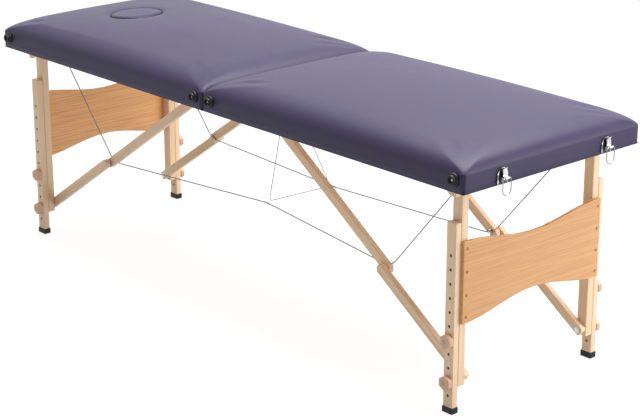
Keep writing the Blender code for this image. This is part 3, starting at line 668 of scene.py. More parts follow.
plug_low, plug_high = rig.box("face_plug")
plug_centre = (plug_low + plug_high) / 2
hole_half_x = (plug_high.x - plug_low.x) / 2 + hole_clearance
hole_half_y = (plug_high.y - plug_low.y) / 2 + hole_clearance


def crowd_to_edges(part):
    """Grid lines from -1 to 1, drawn together towards both ends, where the vinyl rolls over."""
    return math.copysign(1 - (1 - abs(part)) ** grid_crowding, part)


def inside(x, y, half_x, half_y):
    """How far a point lies inside the pad's rounded plan, whose corners open as they go in."""
    from_end = half_x - abs(x)
    from_side = half_y - abs(y)
    least = min(from_end, from_side)
    if abs(from_end - from_side) >= corner_radius + corner_spread * least:
        return max(least, 0.0)
    grow = 1 + corner_spread
    square = 2 * grow**2 - corner_spread**2
    slope = grow * (2 * corner_radius - from_end - from_side) - corner_radius * corner_spread
    rest = (corner_radius - from_end) ** 2 + (corner_radius - from_side) ** 2 - corner_radius**2
    root = math.sqrt(max(slope**2 - square * rest, 0.0))
    return max((root - slope) / square, 0.0)


def crown(x, y, half_x, half_y):
    """Height of the stuffed vinyl above its straight side: a round roll at the edge, then a broad crown."""
    part = 1 - min(inside(x, y, half_x, half_y) / roll_width, 1.0)
    fullness = max(0.0, (1 - (x / half_x) ** 2) * (1 - (y / half_y) ** 2))
    return roll_height * math.sqrt(1 - part**2) + crown_height * fullness**crown_fullness


def oval_point(x, y):
    """The point on the face hole's rim in the direction of x, y from its centre."""
    reach = 1 / math.hypot(x / hole_half_x, y / hole_half_y)
    return Vector((x * reach, y * reach, 0))


def grow_rim(bm, rim):
    """Extrudes a loop of edges in place. Returns the new vertices and the new loop."""
    grown = bmesh.ops.extrude_edge_only(bm, edges=rim)["geom"]
    verts = [item for item in grown if isinstance(item, bmesh.types.BMVert)]
    new = set(verts)
    edges = [
        item
        for item in grown
        if isinstance(item, bmesh.types.BMEdge) and item.verts[0] in new and item.verts[1] in new
    ]
    return verts, edges


def settle(piece, held):
    """Lets the foam push the vinyl tight by cloth simulation. Held points stay, and none moves far."""
    group = piece.vertex_groups.new(name="held")
    group.add(held, 1.0, "REPLACE")
    cloth = piece.modifiers.new("settle", "CLOTH")
    sheet = {
        "quality": 6,
        "mass": 0.3,
        "tension_stiffness": 25,
        "compression_stiffness": 25,
        "shear_stiffness": 10,
        "bending_stiffness": 8,
        "use_pressure": True,
        "uniform_pressure_force": settle_pressure,
        "vertex_group_mass": group.name,
    }
    for setting, value in sheet.items():
        setattr(cloth.settings, setting, value)
    cloth.settings.effector_weights.gravity = 0
    cloth.collision_settings.use_collision = False
    cloth.point_cache.frame_start = 1
    cloth.point_cache.frame_end = settle_frames
    for moment in range(1, settle_frames + 1):
        bpy.context.scene.frame_set(moment)
    seen = piece.evaluated_get(bpy.context.evaluated_depsgraph_get())
    shape = seen.to_mesh()
    moves = [after.co - before.co for after, before in zip(shape.vertices, piece.data.vertices)]
    seen.to_mesh_clear()
    piece.modifiers.remove(cloth)
    piece.vertex_groups.remove(group)
    bpy.context.scene.frame_set(1)
    for vert, move in zip(piece.data.vertices, moves):
        vert.co += move * (settle_reach / (settle_reach + move.length))


for section in sections:
    low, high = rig.box(f"{section}_cover")
    centre = (low + high) / 2
    half_x = (high.x - low.x) / 2
    half_y = (high.y - low.y) / 2
    bm = bmesh.new()
    bmesh.ops.create_grid(bm, x_segments=grid_lengthwise, y_segments=grid_across, size=1)
    for vert in bm.verts:
        x = crowd_to_edges(vert.co.x) * half_x
        y = crowd_to_edges(vert.co.y) * half_y
        corner_x = (abs(x) - half_x + corner_radius) / corner_radius
        corner_y = (abs(y) - half_y + corner_radius) / corner_radius
        if corner_x > 0 and corner_y > 0:
            round_x = corner_x * math.sqrt(1 - corner_y**2 / 2)
            round_y = corner_y * math.sqrt(1 - corner_x**2 / 2)
            x = math.copysign(half_x - corner_radius + corner_radius * round_x, x)
            y = math.copysign(half_y - corner_radius + corner_radius * round_y, y)
        vert.co = (x, y, side_top + crown(x, y, half_x, half_y))

    hole = Vector((plug_centre.x - centre.x, 0, 0))
    hole_rim = []
    if section == "head":
        block = [
            face
            for face in bm.faces
            if abs(face.calc_center_median().x - hole.x) < hole_half_x + hole_margin
            and abs(face.calc_center_median().y) < hole_half_y + hole_margin
        ]
        outer_rim = {edge for edge in bm.edges if edge.is_boundary}
        bmesh.ops.delete(bm, geom=block, context="FACES")
        hole_rim = [edge for edge in bm.edges if edge.is_boundary and edge not in outer_rim]
        for number in range(1, hole_rings + 1):
            keep = (1 - number / hole_rings) / (1 - (number - 1) / hole_rings)
            verts, hole_rim = grow_rim(bm, hole_rim)
            for vert in verts:
                away = vert.co - hole
                goal = hole + oval_point(away.x, away.y)
                vert.co = goal + (vert.co - goal) * keep
                vert.co.z = side_top + crown(vert.co.x, vert.co.y, half_x, half_y)

        for vert in bm.verts:
            away = vert.co - hole
            away.z = 0
            gap = away.length - oval_point(away.x, away.y).length
            if gap < hole_dip_reach:
                part = 1 - max(gap, 0.0) / hole_dip_reach
                vert.co.z -= hole_dip * part**hole_dip_power
            if gap < ripple_reach:
                part = 1 - max(gap, 0.0) / ripple_reach
                angle = math.atan2(away.y, away.x)
                wave = math.sin(ripple_folds[0] * angle) + 0.6 * math.sin(ripple_folds[1] * angle + 1.3)
                vert.co.z -= hole_ripple * part**ripple_power * (ripple_lift + wave)

        verts, hole_rim = grow_rim(bm, hole_rim)
        for vert in verts:
            vert.co.z -= hole_lining
        verts, hole_rim = grow_rim(bm, hole_rim)
        for vert in verts:
            vert.co.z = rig.box("head_deck")[1].z
    lower_rim = [edge for edge in bm.edges if edge.is_boundary and edge not in set(hole_rim)]
    for drop in skirt_drops:
        verts, lower_rim = grow_rim(bm, lower_rim)
        for vert in verts:
            vert.co.z = side_top + (frame_bottom - side_top) * drop
    for vert in bm.verts:
        from_end = half_x - abs(vert.co.x)
        from_side = half_y - abs(vert.co.y)
        reach = math.hypot(from_end, from_side)
        if reach < pleat_reach:
            angle = math.atan2(from_side, from_end)
            fold_wave = 0.5 + 0.5 * math.sin(pleat_folds * angle + 0.8)
            depth = pleat_depth * (1 - reach / pleat_reach) ** 2 * fold_wave
            vert.co.x -= math.copysign(depth * math.cos(angle), vert.co.x)
            vert.co.y -= math.copysign(depth * math.sin(angle), vert.co.y)
    bmesh.ops.recalc_face_normals(bm, faces=bm.faces)
    highest = max(bm.faces, key=lambda face: face.calc_center_median().z)
    if highest.normal.z < 0:
        bmesh.ops.reverse_faces(bm, faces=bm.faces)
    bmesh.ops.translate(bm, verts=bm.verts, vec=(centre.x, centre.y, 0))
    pad = add_piece(f"{section}_pad", bm, vinyl, "vinyl", f"{section}_half", smooth_angle=70)
    held = []
    for vert in pad.data.vertices:
        away = vert.co - hole - centre
        from_hole = math.hypot(away.x, away.y) - oval_point(away.x, away.y).length
        if vert.co.z < side_top + held_skirt or (section == "head" and from_hole < held_rim):
            held.append(vert.index)
    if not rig.quick():
        settle(pad, held)
    wall = pad.modifiers.new("vinyl wall", "SOLIDIFY")
    wall.thickness = vinyl_thickness
    wall.offset = -1.0
    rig.replaces(pad, f"{section}_cover", f"{section}_foam")
    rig.padded(pad, fill=0.95)

# Face plug.
# A loose oval of the same foam and vinyl fills the face hole. Its top edge is rolled and a little proud, and
# it is only pressed in, so it lifts straight out.
plug_segments = 96
plug_roll = 0.009
plug_rise = 0.0012
plug_roll_steps = 6
plug_insets = (0.012, 0.014, 0.014)

low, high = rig.box("head_cover")
head_centre = (low + high) / 2
bm = bmesh.new()
bmesh.ops.create_circle(bm, segments=plug_segments, radius=1.0, cap_ends=True)
bmesh.ops.scale(
    bm,
    vec=((plug_high.x - plug_low.x) / 2, (plug_high.y - plug_low.y) / 2, 1),
    verts=bm.verts,
)
bmesh.ops.translate(bm, vec=(plug_centre.x, plug_centre.y, 0), verts=bm.verts)
base_verts = set(bm.verts)
base = bmesh.ops.extrude_face_region(bm, geom=bm.faces[:])
top = [item for item in base["geom"] if isinstance(item, bmesh.types.BMFace)]
bmesh.ops.translate(bm, vec=(0, 0, plug_rise - plug_roll), verts=top[0].verts)
for step in range(1, plug_roll_steps + 1):
    angle = math.radians(90 * step / plug_roll_steps)
    before = math.radians(90 * (step - 1) / plug_roll_steps)
    bmesh.ops.inset_region(bm, faces=top, thickness=plug_roll * (math.cos(before) - math.cos(angle)))
    rise = plug_roll * (math.sin(angle) - math.sin(before))
    bmesh.ops.translate(bm, vec=(0, 0, rise), verts=top[0].verts)
for thickness in plug_insets:
    bmesh.ops.inset_region(bm, faces=top, thickness=thickness)
for vert in bm.verts:
    if vert in base_verts:
        vert.co.z = plug_low.z
    else:
        x = vert.co.x - head_centre.x
        vert.co.z += side_top + crown(x, vert.co.y, (high.x - low.x) / 2, (high.y - low.y) / 2)
bmesh.ops.recalc_face_normals(bm, faces=bm.faces)
plug = add_piece("face_plug_pad", bm, vinyl, "vinyl", "face_plug", smooth_angle=70)
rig.replaces(plug, "face_plug")
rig.padded(plug, fill=0.9)


# Wooden frames, legs and braces.
# Clear-lacquered hardwood, planed and lightly rounded. The frames are glued, the legs and braces bolted. The
# grain runs along each stick, so legs, braces and rails each have their own turn of the same wood.
def wood(name, turn, pale=(0.86, 0.64, 0.435), dark=(0.735, 0.51, 0.32)):
    """Lacquered wood between a pale and a dark tone. The turn lays its grain along X."""
    finish = Finish(name, Coat_Weight=0.12, Coat_Roughness=0.3)
    grain = finish.place(turn)
    broad = finish.noise(finish.stretch(grain, 0.8, 9.0), 1.0, 1.0)
    streak = finish.noise(finish.stretch(grain, 1.6, 70.0), 1.0, 4.0, 0.6, 0.1)
    fine = finish.noise(finish.stretch(grain, 9.0, 480.0), 1.0, 2.0, 0.6)
    pore = finish.noise(finish.stretch(grain, 55.0, 900.0), 1.0, 1.0) > 0.66
    tone = broad * 0.3 + streak * 0.5 + fine * 0.2
    middle = tuple((light + deep) / 2 for light, deep in zip(pale, dark))
    colour = finish.ramp(tone, (0.38, dark), (0.5, middle), (0.6, pale))
    finish.set("Base Color", finish.mix(pore * 0.22, colour, tuple(part * 0.75 for part in dark)))
    finish.set("Roughness", 0.36 + 0.16 * fine)
    finish.bump(fine, 0.1, 0.0005)
    return finish


def dress(node, finish):
    """Gives a node of the frame a finished material and leaves its mesh alone."""
    piece = bpy.data.objects[node]
    for number in range(len(piece.material_slots)):
        piece.material_slots[number].material = finish.material


quarter = math.pi / 2
brace_tilt = math.atan2(-brace_line.z, brace_line.x)
upright = wood("upright hardwood", (0, quarter, 0))
lengthwise = wood("lengthwise hardwood", (0, 0, 0))
foot_strut = wood("foot strut hardwood", (0, -brace_tilt, 0))
head_strut = wood("head strut hardwood", (0, brace_tilt, 0))
struts = {"head": head_strut, "foot": foot_strut}
knob_wood = wood("knob hardwood", (0, quarter, 0), (0.70, 0.45, 0.31), (0.56, 0.335, 0.215))

for section in sections:
    dress(f"{section}_frame", lengthwise)
    dress(f"{section}_deck", lengthwise)
    for lane_name in lanes:
        name = f"{section}_{lane_name}"
        dress(f"{name}_upper_leg", upright)
        dress(f"{name}_lower_leg", upright)
        dress(f"{name}_upper_brace", struts[section])
        dress(f"{name}_lower_brace", struts[section])
        for height in ("high", "low"):
            dress(f"{name}_{height}_knob", knob_wood)

# End panels.
# Honey-coloured plywood cut to an hour-glass and screwed across each pair of legs. Its face grain is level,
# and the glued plies show along its sawn edges.
panel_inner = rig.box("foot_end_panel")[0].x
ply_pitch = 0.0018

plywood = Finish("honey plywood", Coat_Weight=0.15, Coat_Roughness=0.25)
grain = plywood.place((0, 0, quarter))
wander = plywood.noise(plywood.stretch(grain, 2.6, 7.0), 1.0, 3.0, 0.55)
streak = plywood.noise(plywood.stretch(grain, 2.4, 120.0), 1.0, 4.0, 0.65, 0.2)
fine = plywood.noise(plywood.stretch(grain, 14.0, 520.0), 1.0, 2.0, 0.6)
rise = plywood.node("ShaderNodeSeparateXYZ", None, {"Vector": grain}, output=2)
rings = (rise * 900.0 + wander * 46.0).sine()
tone = 0.5 + (streak - 0.5) * 0.9 + (fine - 0.5) * 0.5 + rings * 0.075
honey = ((0.3, (0.66, 0.31, 0.102)), (0.5, (0.795, 0.41, 0.156)), (0.68, (0.88, 0.49, 0.208)))
face_grain = plywood.ramp(tone, *honey)
depth = plywood.node("ShaderNodeSeparateXYZ", None, {"Vector": plywood.place()}, output=0).absolute()
inner_ply = (((depth - panel_inner) * (1 / ply_pitch)).remainder(2.0)) > 1.0
plywood.set("Base Color", plywood.mix(inner_ply * 0.55, face_grain, (0.42, 0.21, 0.085)))
plywood.set("Roughness", 0.3 + 0.18 * fine)
plywood.bump(fine * 0.6 + streak * 0.4, 0.1, 0.0004)
for section in sections:
    dress(f"{section}_end_panel", plywood)

# Screws and bolts.
# Four bronzed screws hold each end of a panel. Plated bolts with washers and low nuts carry the legs and the
# ends of the braces, and a steel spacer parts the two braces at each knee.
panel_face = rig.box("foot_end_panel")[1].x
leg_pivot = joint_places["foot_legs_fold"]
screw_heights = (0.411, 0.354, 0.297, 0.243)
screw_lane = 0.2287
lower_brace_in = 0.2014
upper_brace_out = 0.198
upper_leg_in = 0.2177
cleat_in = 0.1657
panel_screw_radius = 0.0036
bolt_radius = 0.006
bolt_height = 0.005
strut_nut_radius = 0.0056
strut_nut_height = 0.0031
strut_head_proud = 0.001
spacer_radius = 0.0085
spacer_play = 0.0001


def screw_head(place, axis, radius, proud=0.0004):
    """A countersunk head with a driver recess."""
    profile = [
        (0.0, -0.0004),
        (0.34 * radius, -0.0003),
        (0.46 * radius, proud),
        (0.9 * radius, proud),
        (radius, 0.3 * proud),
        (radius, -0.0006),
        (0.0, -0.0006),
    ]
    return turned(profile, place, axis, 16)


def low_nut(place, axis, radius, height):
    """A washer under a six-sided nut with a domed end."""
    washer = [(0.0, 0.0), (1.5 * radius, 0.0), (1.5 * radius, 0.26 * height), (0.0, 0.26 * height)]
    nut = [
        (0.0, 0.0),
        (radius, 0.0),
        (radius, 0.8 * height),
        (0.8 * radius, 0.92 * height),
        (0.45 * radius, height),
        (0.0, height),
    ]
    return [turned(washer, place, axis, 24), turned(nut, place, axis, 6)]


zinc = mottled(
    "zinc plate", 300.0, 2.0, (0.23, 0.19, 0.14), (0.36, 0.31, 0.24), 0.32, 0.2, Metallic=0.9
)
bronze = mottled(
    "bronzed screw", 300.0, 2.0, (0.11, 0.065, 0.035), (0.20, 0.125, 0.07), 0.38, 0.2, Metallic=0.7
)

for section, side in sections.items():
    screws = []
    pivots = []
    strut_tops = []
    strut_feet = []
    spacers = []
    for lane in lanes.values():
        for height in screw_heights:
            place = (side * panel_face, lane * screw_lane, height)
            screws.append(screw_head(place, (side, 0, 0), panel_screw_radius))
        inward = (0, -lane, 0)
        place = (side * leg_pivot.x, lane * upper_leg_in, leg_pivot.z)
        pivots += low_nut(place, inward, bolt_radius, bolt_height)
        place = (side * brace_pivot.x, lane * cleat_in, brace_pivot.z)
        strut_tops += low_nut(place, inward, bolt_radius, bolt_height)
        place = (side * brace_foot.x, lane * lower_brace_in, brace_foot.z)
        strut_feet += low_nut(place, inward, strut_nut_radius, strut_nut_height)
        place = (side * brace_pivot.x, lane * upper_brace_out, brace_pivot.z)
        strut_tops.append(screw_head(place, (0, lane, 0), bolt_radius, strut_head_proud))
        start = spacer_play
        end = lower_brace_in - upper_brace_out - spacer_play
        spacer = [(0.0, start), (spacer_radius, start), (spacer_radius, end), (0.0, end)]
        spacers.append(turned(spacer, (side * knee.x, lane * upper_brace_out, knee.z), (0, lane, 0)))
    for name, shapes, finish, body in (
        ("panel_screws", screws, bronze, "legs"),
        ("leg_bolts", pivots, bright_steel, "half"),
        ("strut_top_bolts", strut_tops, bright_steel, "half"),
        ("strut_foot_bolts", strut_feet, bright_steel, "lower_braces"),
        ("knee_spacers", spacers, bright_steel, "upper_braces"),
    ):
        add_piece(f"{section}_{name}", gather(shapes), finish, "steel", f"{section}_{body}")

# Height holes and knobs.
# Each lower leg has a column of holes, scorched dark by the drill, that set the table's height. Two wooden
# knobs with six sides clamp it to its upper leg, and a threaded steel insert shows in the face of each.
hole_radius = 0.0039
hole_depth = 0.0022
first_hole = 0.045
hole_pitch = 0.035
hole_count = 11
hole_bottom = [(0.0, 0.0), (hole_radius, 0.0), (0.0, -0.0008)]
insert_profile = [
    (0.0, -0.0014),
    (0.0022, -0.0012),
    (0.0026, 0.0003),
    (0.0046, 0.0003),
    (0.005, -0.0002),
    (0.005, -0.0018),
    (0.0, -0.0018),
]

scorch = Finish("drilled wood", Roughness=0.9)
char = scorch.noise(scorch.place(), 600.0, 2.0)
scorch.tint(char, (0.3, (0.030, 0.018, 0.010)), (0.7, (0.065, 0.040, 0.024)))

for section, side in sections.items():
    for lane_name, lane in lanes.items():
        leg = f"{section}_{lane_name}_lower_leg"
        low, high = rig.box(leg)
        face = high.y if lane > 0 else low.y
        discs = []
        for number in range(hole_count):
            place = (side * leg_pivot.x, face - lane * hole_depth, first_hole + hole_pitch * number)
            discs.append(turned(hole_bottom, place, (0, lane, 0), 10))
        add_piece(f"{leg}_bores", gather(discs), scorch, "beech", leg)
        for which in ("low", "high"):
            knob = f"{section}_{lane_name}_{which}_knob"
            low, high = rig.box(knob)
            face = high.y if lane > 0 else low.y
            centre = (low + high) / 2
            shape = turned(insert_profile, (centre.x, face, centre.z), (0, lane, 0), 16)
            add_piece(f"{knob}_insert", shape, zinc, "steel", knob)

# Rubber feet and bumpers.
# Moulded black rubber: square caps pressed on the legs, and stepped round buffers on the near side. A screw
# sunk in its middle holds each buffer. The folded case stands on them.
rubber = mottled(
    "moulded rubber",
    120.0,
    3.0,
    (0.0045, 0.0045, 0.005),
    (0.011, 0.011, 0.012),
    0.34,
    0.22,
    Specular_IOR_Level=0.28,
)
bumper_profile = [
    (0.0, 0.0),
    (0.016, 0.0),
    (0.016, 0.0030),
    (0.0150, 0.0044),
    (0.0122, 0.0050),
    (0.0114, 0.0060),
    (0.0117, 0.0104),
    (0.0107, 0.0118),
    (0.0072, 0.0118),
    (0.0062, 0.0106),
    (0.0056, 0.0060),
    (0.0, 0.0058),
]
sunk_screw = [(0.0, 0.0062), (0.0016, 0.0064), (0.0020, 0.0074), (0.0036, 0.0070), (0.0044, 0.0060)]

for section in sections:
    for place_name in ("outer", "seam"):
        node = f"{section}_{place_name}_bumper"
        low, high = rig.box(node)
        seat = ((low.x + high.x) / 2, high.y, (low.z + high.z) / 2)
        half = f"{section}_half"
        moulding = turned(bumper_profile, seat, (0, -1, 0), 40)
        bumper = add_piece(f"{node}_moulding", moulding, rubber, "rubber", half)
        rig.replaces(bumper, node)
        screw = turned(sunk_screw, seat, (0, -1, 0), 20)
        add_piece(f"{node}_screw", screw, bright_steel, "steel", half)
    for lane_name in lanes:
        dress(f"{section}_{lane_name}_rubber_foot", rubber)

# Draw latches and catches.
# Chromed pressings riveted to the end rail: an arched plate with a rolled rim, two ears, a lever on a pin
# between them and a bent wire loop. The loop pulls on a hook that is screwed to the other end's rail.
chrome = mottled(
    "bright chrome", 90.0, 2.0, (0.55, 0.55, 0.57), (0.70, 0.70, 0.72), 0.06, 0.1, Metallic=1.0
)
hollow = mottled(
    "shadowed chrome", 200.0, 2.0, (0.018, 0.018, 0.020), (0.045, 0.045, 0.05), 0.22, 0.15, Metallic=0.8
)
loop_wire = mottled(
    "drawn wire",
    260.0,
    2.0,
    (0.17, 0.17, 0.18),
    (0.36, 0.36, 0.38),
    0.2,
    0.15,
    stops=(0.35, 0.65),
    Metallic=1.0,
)

rim_wire = 0.0022
rim_inset = 0.0010
hollow_inset = 0.0068
hollow_sheet = 0.0003
hollow_gap = 0.0001
plate_sheet = 0.0016
rivet_profile = [(0.0, 0.0011), (0.0012, 0.0009), (0.002, 0.0), (0.0, 0.0)]
rivet_spread = 0.0145
rivet_lift = 0.006
rivet_drop = 0.0042
pin_profile = [
    (0.0, -0.0095),
    (0.0022, -0.0095),
    (0.0022, -0.0084),
    (0.0015, -0.0084),
    (0.0015, 0.0084),
    (0.0022, 0.0084),
    (0.0022, 0.0095),
    (0.0, 0.0095),
]
catch_sheet = 0.0015
catch_screw_radius = 0.0024
catch_screw_spread = 0.0102
catch_screw_lift = 0.003


def arch(low, high, inset, steps=18):
    """Outline in Y and Z of an arched plate, drawn in from its box, from foot to foot over the top."""
    half = (high.y - low.y) / 2
    middle = (high.y + low.y) / 2
    spring = high.z - half
    points = [(middle + half - inset, low.z)]
    for step in range(steps + 1):
        angle = math.pi * step / steps
        radius = half - inset
        points.append((middle + radius * math.cos(angle), spring + radius * math.sin(angle)))
    points.append((middle - half + inset, low.z))
    return points


for lane_name in lanes:
    plate = f"{lane_name}_latch_plate"
    dress(plate, chrome)
    dress(f"{lane_name}_latch_lever", chrome)
    dress(f"{lane_name}_latch_loop", loop_wire)
    dress(f"{lane_name}_catch", chrome)
    low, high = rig.box(plate)
    face = low.x + plate_sheet
    middle = (low.y + high.y) / 2
    rim_path = [Vector((face, y, z)) for y, z in arch(low, high, rim_inset)]
    rim = tube(f"{plate}_rim", rim_path, rim_wire, hollow, "chrome")
    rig.ride(rim, "foot_half")
    bm = bmesh.new()
    bm.faces.new([bm.verts.new((face + hollow_gap, y, z)) for y, z in arch(low, high, hollow_inset)])
    bmesh.ops.recalc_face_normals(bm, faces=bm.faces)
    sheet = bmesh.ops.extrude_face_region(bm, geom=bm.faces[:])
    moved = [item for item in sheet["geom"] if isinstance(item, bmesh.types.BMVert)]
    bmesh.ops.translate(bm, verts=moved, vec=(hollow_sheet, 0, 0))
    bmesh.ops.recalc_face_normals(bm, faces=bm.faces)
    add_piece(f"{plate}_hollow", bm, hollow, "chrome", "foot_half")
    pivot = joint_places[f"{lane_name}_lever_turn"]
    fixings = [turned(pin_profile, (pivot.x, middle, pivot.z), (0, 1, 0), 14)]
    rivets = [(face, middle + sign * rivet_spread, low.z + rivet_lift) for sign in (-1, 1)]
    for place in rivets + [(face, middle, high.z - rivet_drop)]:
        fixings.append(turned(rivet_profile, place, (1, 0, 0), 14))
    add_piece(f"{plate}_pin_and_rivets", gather(fixings), bright_steel, "steel", "foot_half")
    low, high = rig.box(f"{lane_name}_catch")
    screws = []
    for sign in (-1, 1):
        height = (low.z + high.z) / 2 + catch_screw_lift
        place = (high.x - catch_sheet, middle + sign * catch_screw_spread, height)
        screws.append(screw_head(place, (-1, 0, 0), catch_screw_radius))
    add_piece(f"{lane_name}_catch_screws", gather(screws), zinc, "steel", "head_half")

# Carrying handles.
# A black webbing strap on the far side of each section, bowed out for the hand. A moulded rubber plate with
# two screws holds each of its ends to the rail.
webbing = Finish("black webbing", Roughness=0.85)
weave = {"Vector": webbing.place(), "Scale": 180.0}
ribs = webbing.node("ShaderNodeTexWave", {"bands_direction": "X"}, weave)
webbing.tint(ribs, (0.2, (0.012, 0.012, 0.014)), (0.8, (0.035, 0.035, 0.04)))
webbing.bump(ribs, 0.5, 0.0005)
strap_tab = 0.032
strap_thickness = 0.004
strap_wall = 0.0028
strap_cup = 0.0012
strap_ease = 0.05
strap_narrowing = 0.06
strap_flat = 0.82
strap_columns = 72
strap_rows = 10
plate_thickness = 0.0022
plate_length = 0.94 * strap_tab
plate_overhang = 1.08
plate_round = 0.001
plate_screw_radius = 0.0036
plate_screw_spread = 0.009


def block(size, place):
    """A plain block of a size with its middle at a place."""
    bm = bmesh.new()
    bmesh.ops.create_cube(bm, size=1.0)
    bmesh.ops.scale(bm, vec=size, verts=bm.verts)
    bmesh.ops.translate(bm, vec=place, verts=bm.verts)
    return bm


for section in sections:
    node = f"{section}_handle"
    low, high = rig.box(node)
    half_length = (high.x - low.x) / 2
    half_height = (high.z - low.z) / 2
    lift = high.y - low.y - strap_thickness
    bm = bmesh.new()
    bmesh.ops.create_grid(bm, x_segments=strap_columns, y_segments=strap_rows, size=1)
    for vert in bm.verts:
        along = vert.co.x * half_length
        across = vert.co.y * half_height
        part = min(max((half_length - strap_tab - abs(along)) / strap_ease, 0.0), 1.0)
        rise = part * part * (3 - 2 * part)
        bow = 1 - (1 - strap_flat) * vert.co.x**2
        curl = strap_cup * rise * vert.co.y**2
        vert.co = (
            (low.x + high.x) / 2 + along,
            low.y + strap_thickness / 2 - strap_wall / 2 + lift * rise * bow - curl,
            (low.z + high.z) / 2 + across * (1 - strap_narrowing * rise),
        )
    bmesh.ops.recalc_face_normals(bm, faces=bm.faces)
    bmesh.ops.solidify(bm, geom=bm.faces[:], thickness=strap_wall)
    bmesh.ops.recalc_face_normals(bm, faces=bm.faces)
    strap = add_piece(f"{section}_handle_strap", bm, webbing, "webbing", f"{section}_half")
    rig.replaces(strap, node)
    plates = []
    screws = []
    for x in (low.x + strap_tab / 2, high.x - strap_tab / 2):
        size = (plate_length, plate_thickness, (high.z - low.z) * plate_overhang)
        front = low.y + strap_thickness + plate_thickness / 2
        bm = block(size, (x, front, (low.z + high.z) / 2))
        bmesh.ops.bevel(
            bm,
            geom=bm.verts[:] + bm.edges[:],
            offset=plate_round,
            segments=2,
            profile=0.5,
            affect="EDGES",
        )
        plates.append(bm)
        for drop in (-plate_screw_spread, plate_screw_spread):
            place = (x, front + plate_thickness / 2, (low.z + high.z) / 2 + drop)
            screws.append(screw_head(place, (0, 1, 0), plate_screw_radius))
    add_piece(f"{section}_handle_plates", gather(plates), rubber, "rubber", f"{section}_half")
    add_piece(f"{section}_handle_screws", gather(screws), bright_steel, "steel", f"{section}_half")

# Long hinge.
# A plain steel hinge with a leaf under each seam rail and a pin between them. A row of countersunk screws
# holds each leaf to its rail.
hinge_screw_count = 8
hinge_screw_reach = 0.019
hinge_screw_drop = 0.0021
hinge_screw_radius = 0.0034
hinge_screw_proud = 0.0003

dress("hinge_pin", bright_steel)
for section, side in sections.items():
    dress(f"{section}_hinge_leaf", bright_steel)
    low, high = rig.box(f"{section}_hinge_leaf")
    screws = []
    for number in range(hinge_screw_count):
        y = low.y + (high.y - low.y) * (number + 0.5) / hinge_screw_count
        place = (side * hinge_screw_reach, y, frame_bottom - hinge_screw_drop)
        screws.append(screw_head(place, (0, 0, -1), hinge_screw_radius, hinge_screw_proud))
    add_piece(f"{section}_hinge_screws", gather(screws), zinc, "steel", f"{section}_half")

# Stapled hem.
# The vinyl turns in under the rails, where a row of steel staples holds its cut edge flat. It stops short of
# the hinge at the seam.
hem_width = 0.0135
hem_thickness = 0.0011
hem_inset = 0.0009
hem_gap = 0.0002
staple_pitch = 0.034
staple_margin = 0.03
staple_length = 0.010
staple_width = 0.0012
staple_wire = 0.0007
hinge_clearance = 0.003
hinge_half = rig.box("hinge_pin")[1].y + hinge_clearance

for section, side in sections.items():
    low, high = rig.box(f"{section}_cover")
    strips = [
        (low.x + hem_inset, low.y + hem_inset, high.x - hem_inset, low.y + hem_width),
        (low.x + hem_inset, high.y - hem_width, high.x - hem_inset, high.y - hem_inset),
    ]
    outer = high.x if side > 0 else low.x
    inner = low.x if side > 0 else high.x
    ends = sorted((outer - side * hem_width, outer - side * hem_inset))
    strips.append((ends[0], low.y + hem_width, ends[1], high.y - hem_width))
    ends = sorted((inner + side * hem_inset, inner + side * hem_width))
    strips.append((ends[0], low.y + hem_width, ends[1], -hinge_half))
    strips.append((ends[0], hinge_half, ends[1], high.y - hem_width))
    hems = []
    staples = []
    for x0, y0, x1, y1 in strips:
        middle = ((x0 + x1) / 2, (y0 + y1) / 2, frame_bottom - hem_thickness / 2 - hem_gap)
        hems.append(block((x1 - x0, y1 - y0, hem_thickness), middle))
        along_x = x1 - x0 > y1 - y0
        run = max(x1 - x0, y1 - y0) - staple_margin
        count = max(int(run / staple_pitch), 1)
        for number in range(count + 1):
            shift = -run / 2 + run * number / count
            place = Vector(middle) + (Vector((shift, 0, 0)) if along_x else Vector((0, shift, 0)))
            place.z -= hem_thickness / 2 + hem_gap
            if along_x:
                size = (staple_length, staple_width, staple_wire)
            else:
                size = (staple_width, staple_length, staple_wire)
            staples.append(block(size, place))
    add_piece(f"{section}_hem", gather(hems), vinyl, "vinyl", f"{section}_half")
    add_piece(f"{section}_staples", gather(staples), bright_steel, "steel", f"{section}_half")

# Studio.
# A plain white floor under two soft boxes, a wide one overhead and one beyond the foot end. The world is
# bright behind the table and dim on the near side, which the photograph shows in shade.
floor_size = 40.0
floor_glow = 1.2
floor_share = 0.75
floor_finish = Finish("white floor", Roughness=0.9)
floor_finish.set("Base Color", (0.5, 0.5, 0.5))
white_rays = ("Is Camera Ray", "Is Glossy Ray", "Is Transmission Ray")
camera_ray, glossy_ray, through_ray = [
    floor_finish.node("ShaderNodeLightPath", output=ray) for ray in white_rays
]
glow_share = (camera_ray + glossy_ray + through_ray) * floor_share
plain_white = {"Color": (1, 1, 1, 1), "Strength": floor_glow}
glow = floor_finish.node("ShaderNodeEmission", None, plain_white)
lit_floor = Value(floor_finish, floor_finish.shader.outputs[0])
shown = floor_finish.node("ShaderNodeMixShader", None, {0: glow_share, 1: lit_floor, 2: glow})
floor_finish.fill(floor_finish.tree.nodes["Material Output"].inputs["Surface"], shown)
floor_finish.material.cycles.emission_sampling = "NONE"

bm = bmesh.new()
bmesh.ops.create_grid(bm, x_segments=1, y_segments=1, size=floor_size / 2)
floor_mesh = bpy.data.meshes.new("floor")
bm.to_mesh(floor_mesh)
bm.free()
floor_mesh.materials.append(floor_finish.material)
floor = bpy.data.objects.new("floor", floor_mesh)
bpy.context.scene.collection.objects.link(floor)
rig.stage(floor)

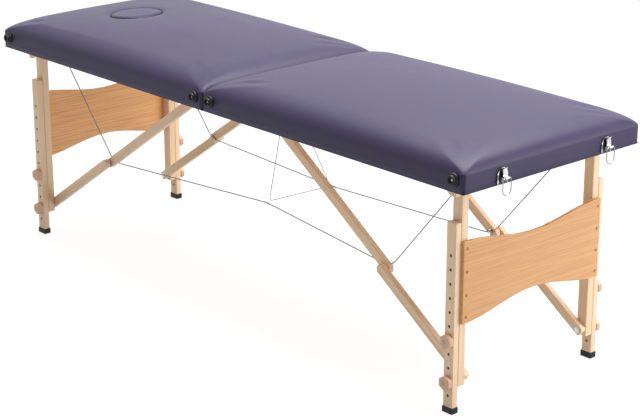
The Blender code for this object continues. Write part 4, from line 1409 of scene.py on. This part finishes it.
world = bpy.data.worlds.new("studio")
bpy.context.scene.world = world
world.use_nodes = True
sky = world.node_tree
backdrop = Vector((-0.72, 0.66, 0.2)).normalized()
glare_range = {"From Min": -0.6, "From Max": 0.9, "To Min": 0.25, "To Max": 1.34}
heading = sky.nodes.new("ShaderNodeTexCoord")
facing = sky.nodes.new("ShaderNodeVectorMath")
facing.operation = "DOT_PRODUCT"
facing.inputs[1].default_value = backdrop
sky.links.new(heading.outputs["Generated"], facing.inputs[0])
glare = sky.nodes.new("ShaderNodeMapRange")
for socket, value in glare_range.items():
    glare.inputs[socket].default_value = value
sky.links.new(facing.outputs["Value"], glare.inputs["Value"])
light_path = sky.nodes.new("ShaderNodeLightPath")
strength = glare.outputs[0]
for ray in white_rays:
    seen = sky.nodes.new("ShaderNodeMath")
    seen.operation = "MAXIMUM"
    sky.links.new(strength, seen.inputs[0])
    sky.links.new(light_path.outputs[ray], seen.inputs[1])
    strength = seen.outputs[0]
sky.nodes["Background"].inputs["Color"].default_value = (1, 1, 1, 1)
sky.links.new(strength, sky.nodes["Background"].inputs["Strength"])


def soft_box(name, place, aim, size, watts):
    """A round area light at a place, turned to what it lights."""
    light = bpy.data.lights.new(name, "AREA")
    light.shape = "DISK"
    light.size = size
    light.energy = watts
    lamp = bpy.data.objects.new(name, light)
    bpy.context.scene.collection.objects.link(lamp)
    lamp.location = place
    lamp.rotation_mode = "QUATERNION"
    lamp.rotation_quaternion = (Vector(aim) - Vector(place)).to_track_quat("-Z", "Y")


soft_box("overhead", (0.4, 0.7, 3.4), (0.15, 0.0, 0.5), 3.0, 196)
soft_box("foot end", (2.7, 1.3, 1.1), (0.6, 0.0, 0.4), 2.0, 45)

bpy.context.scene.view_settings.view_transform = "Standard"
bpy.context.scene.cycles.caustics_reflective = False
bpy.context.scene.cycles.sample_clamp_indirect = 2.0

visual_low, visual_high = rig.bounds()
sizes = {
    "cad": [list(cad_low), list(cad_high)],
    "visual": [list(visual_low), list(visual_high)],
}
with open("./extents.json", "w") as size_file:
    json.dump(sizes, size_file, indent=1)
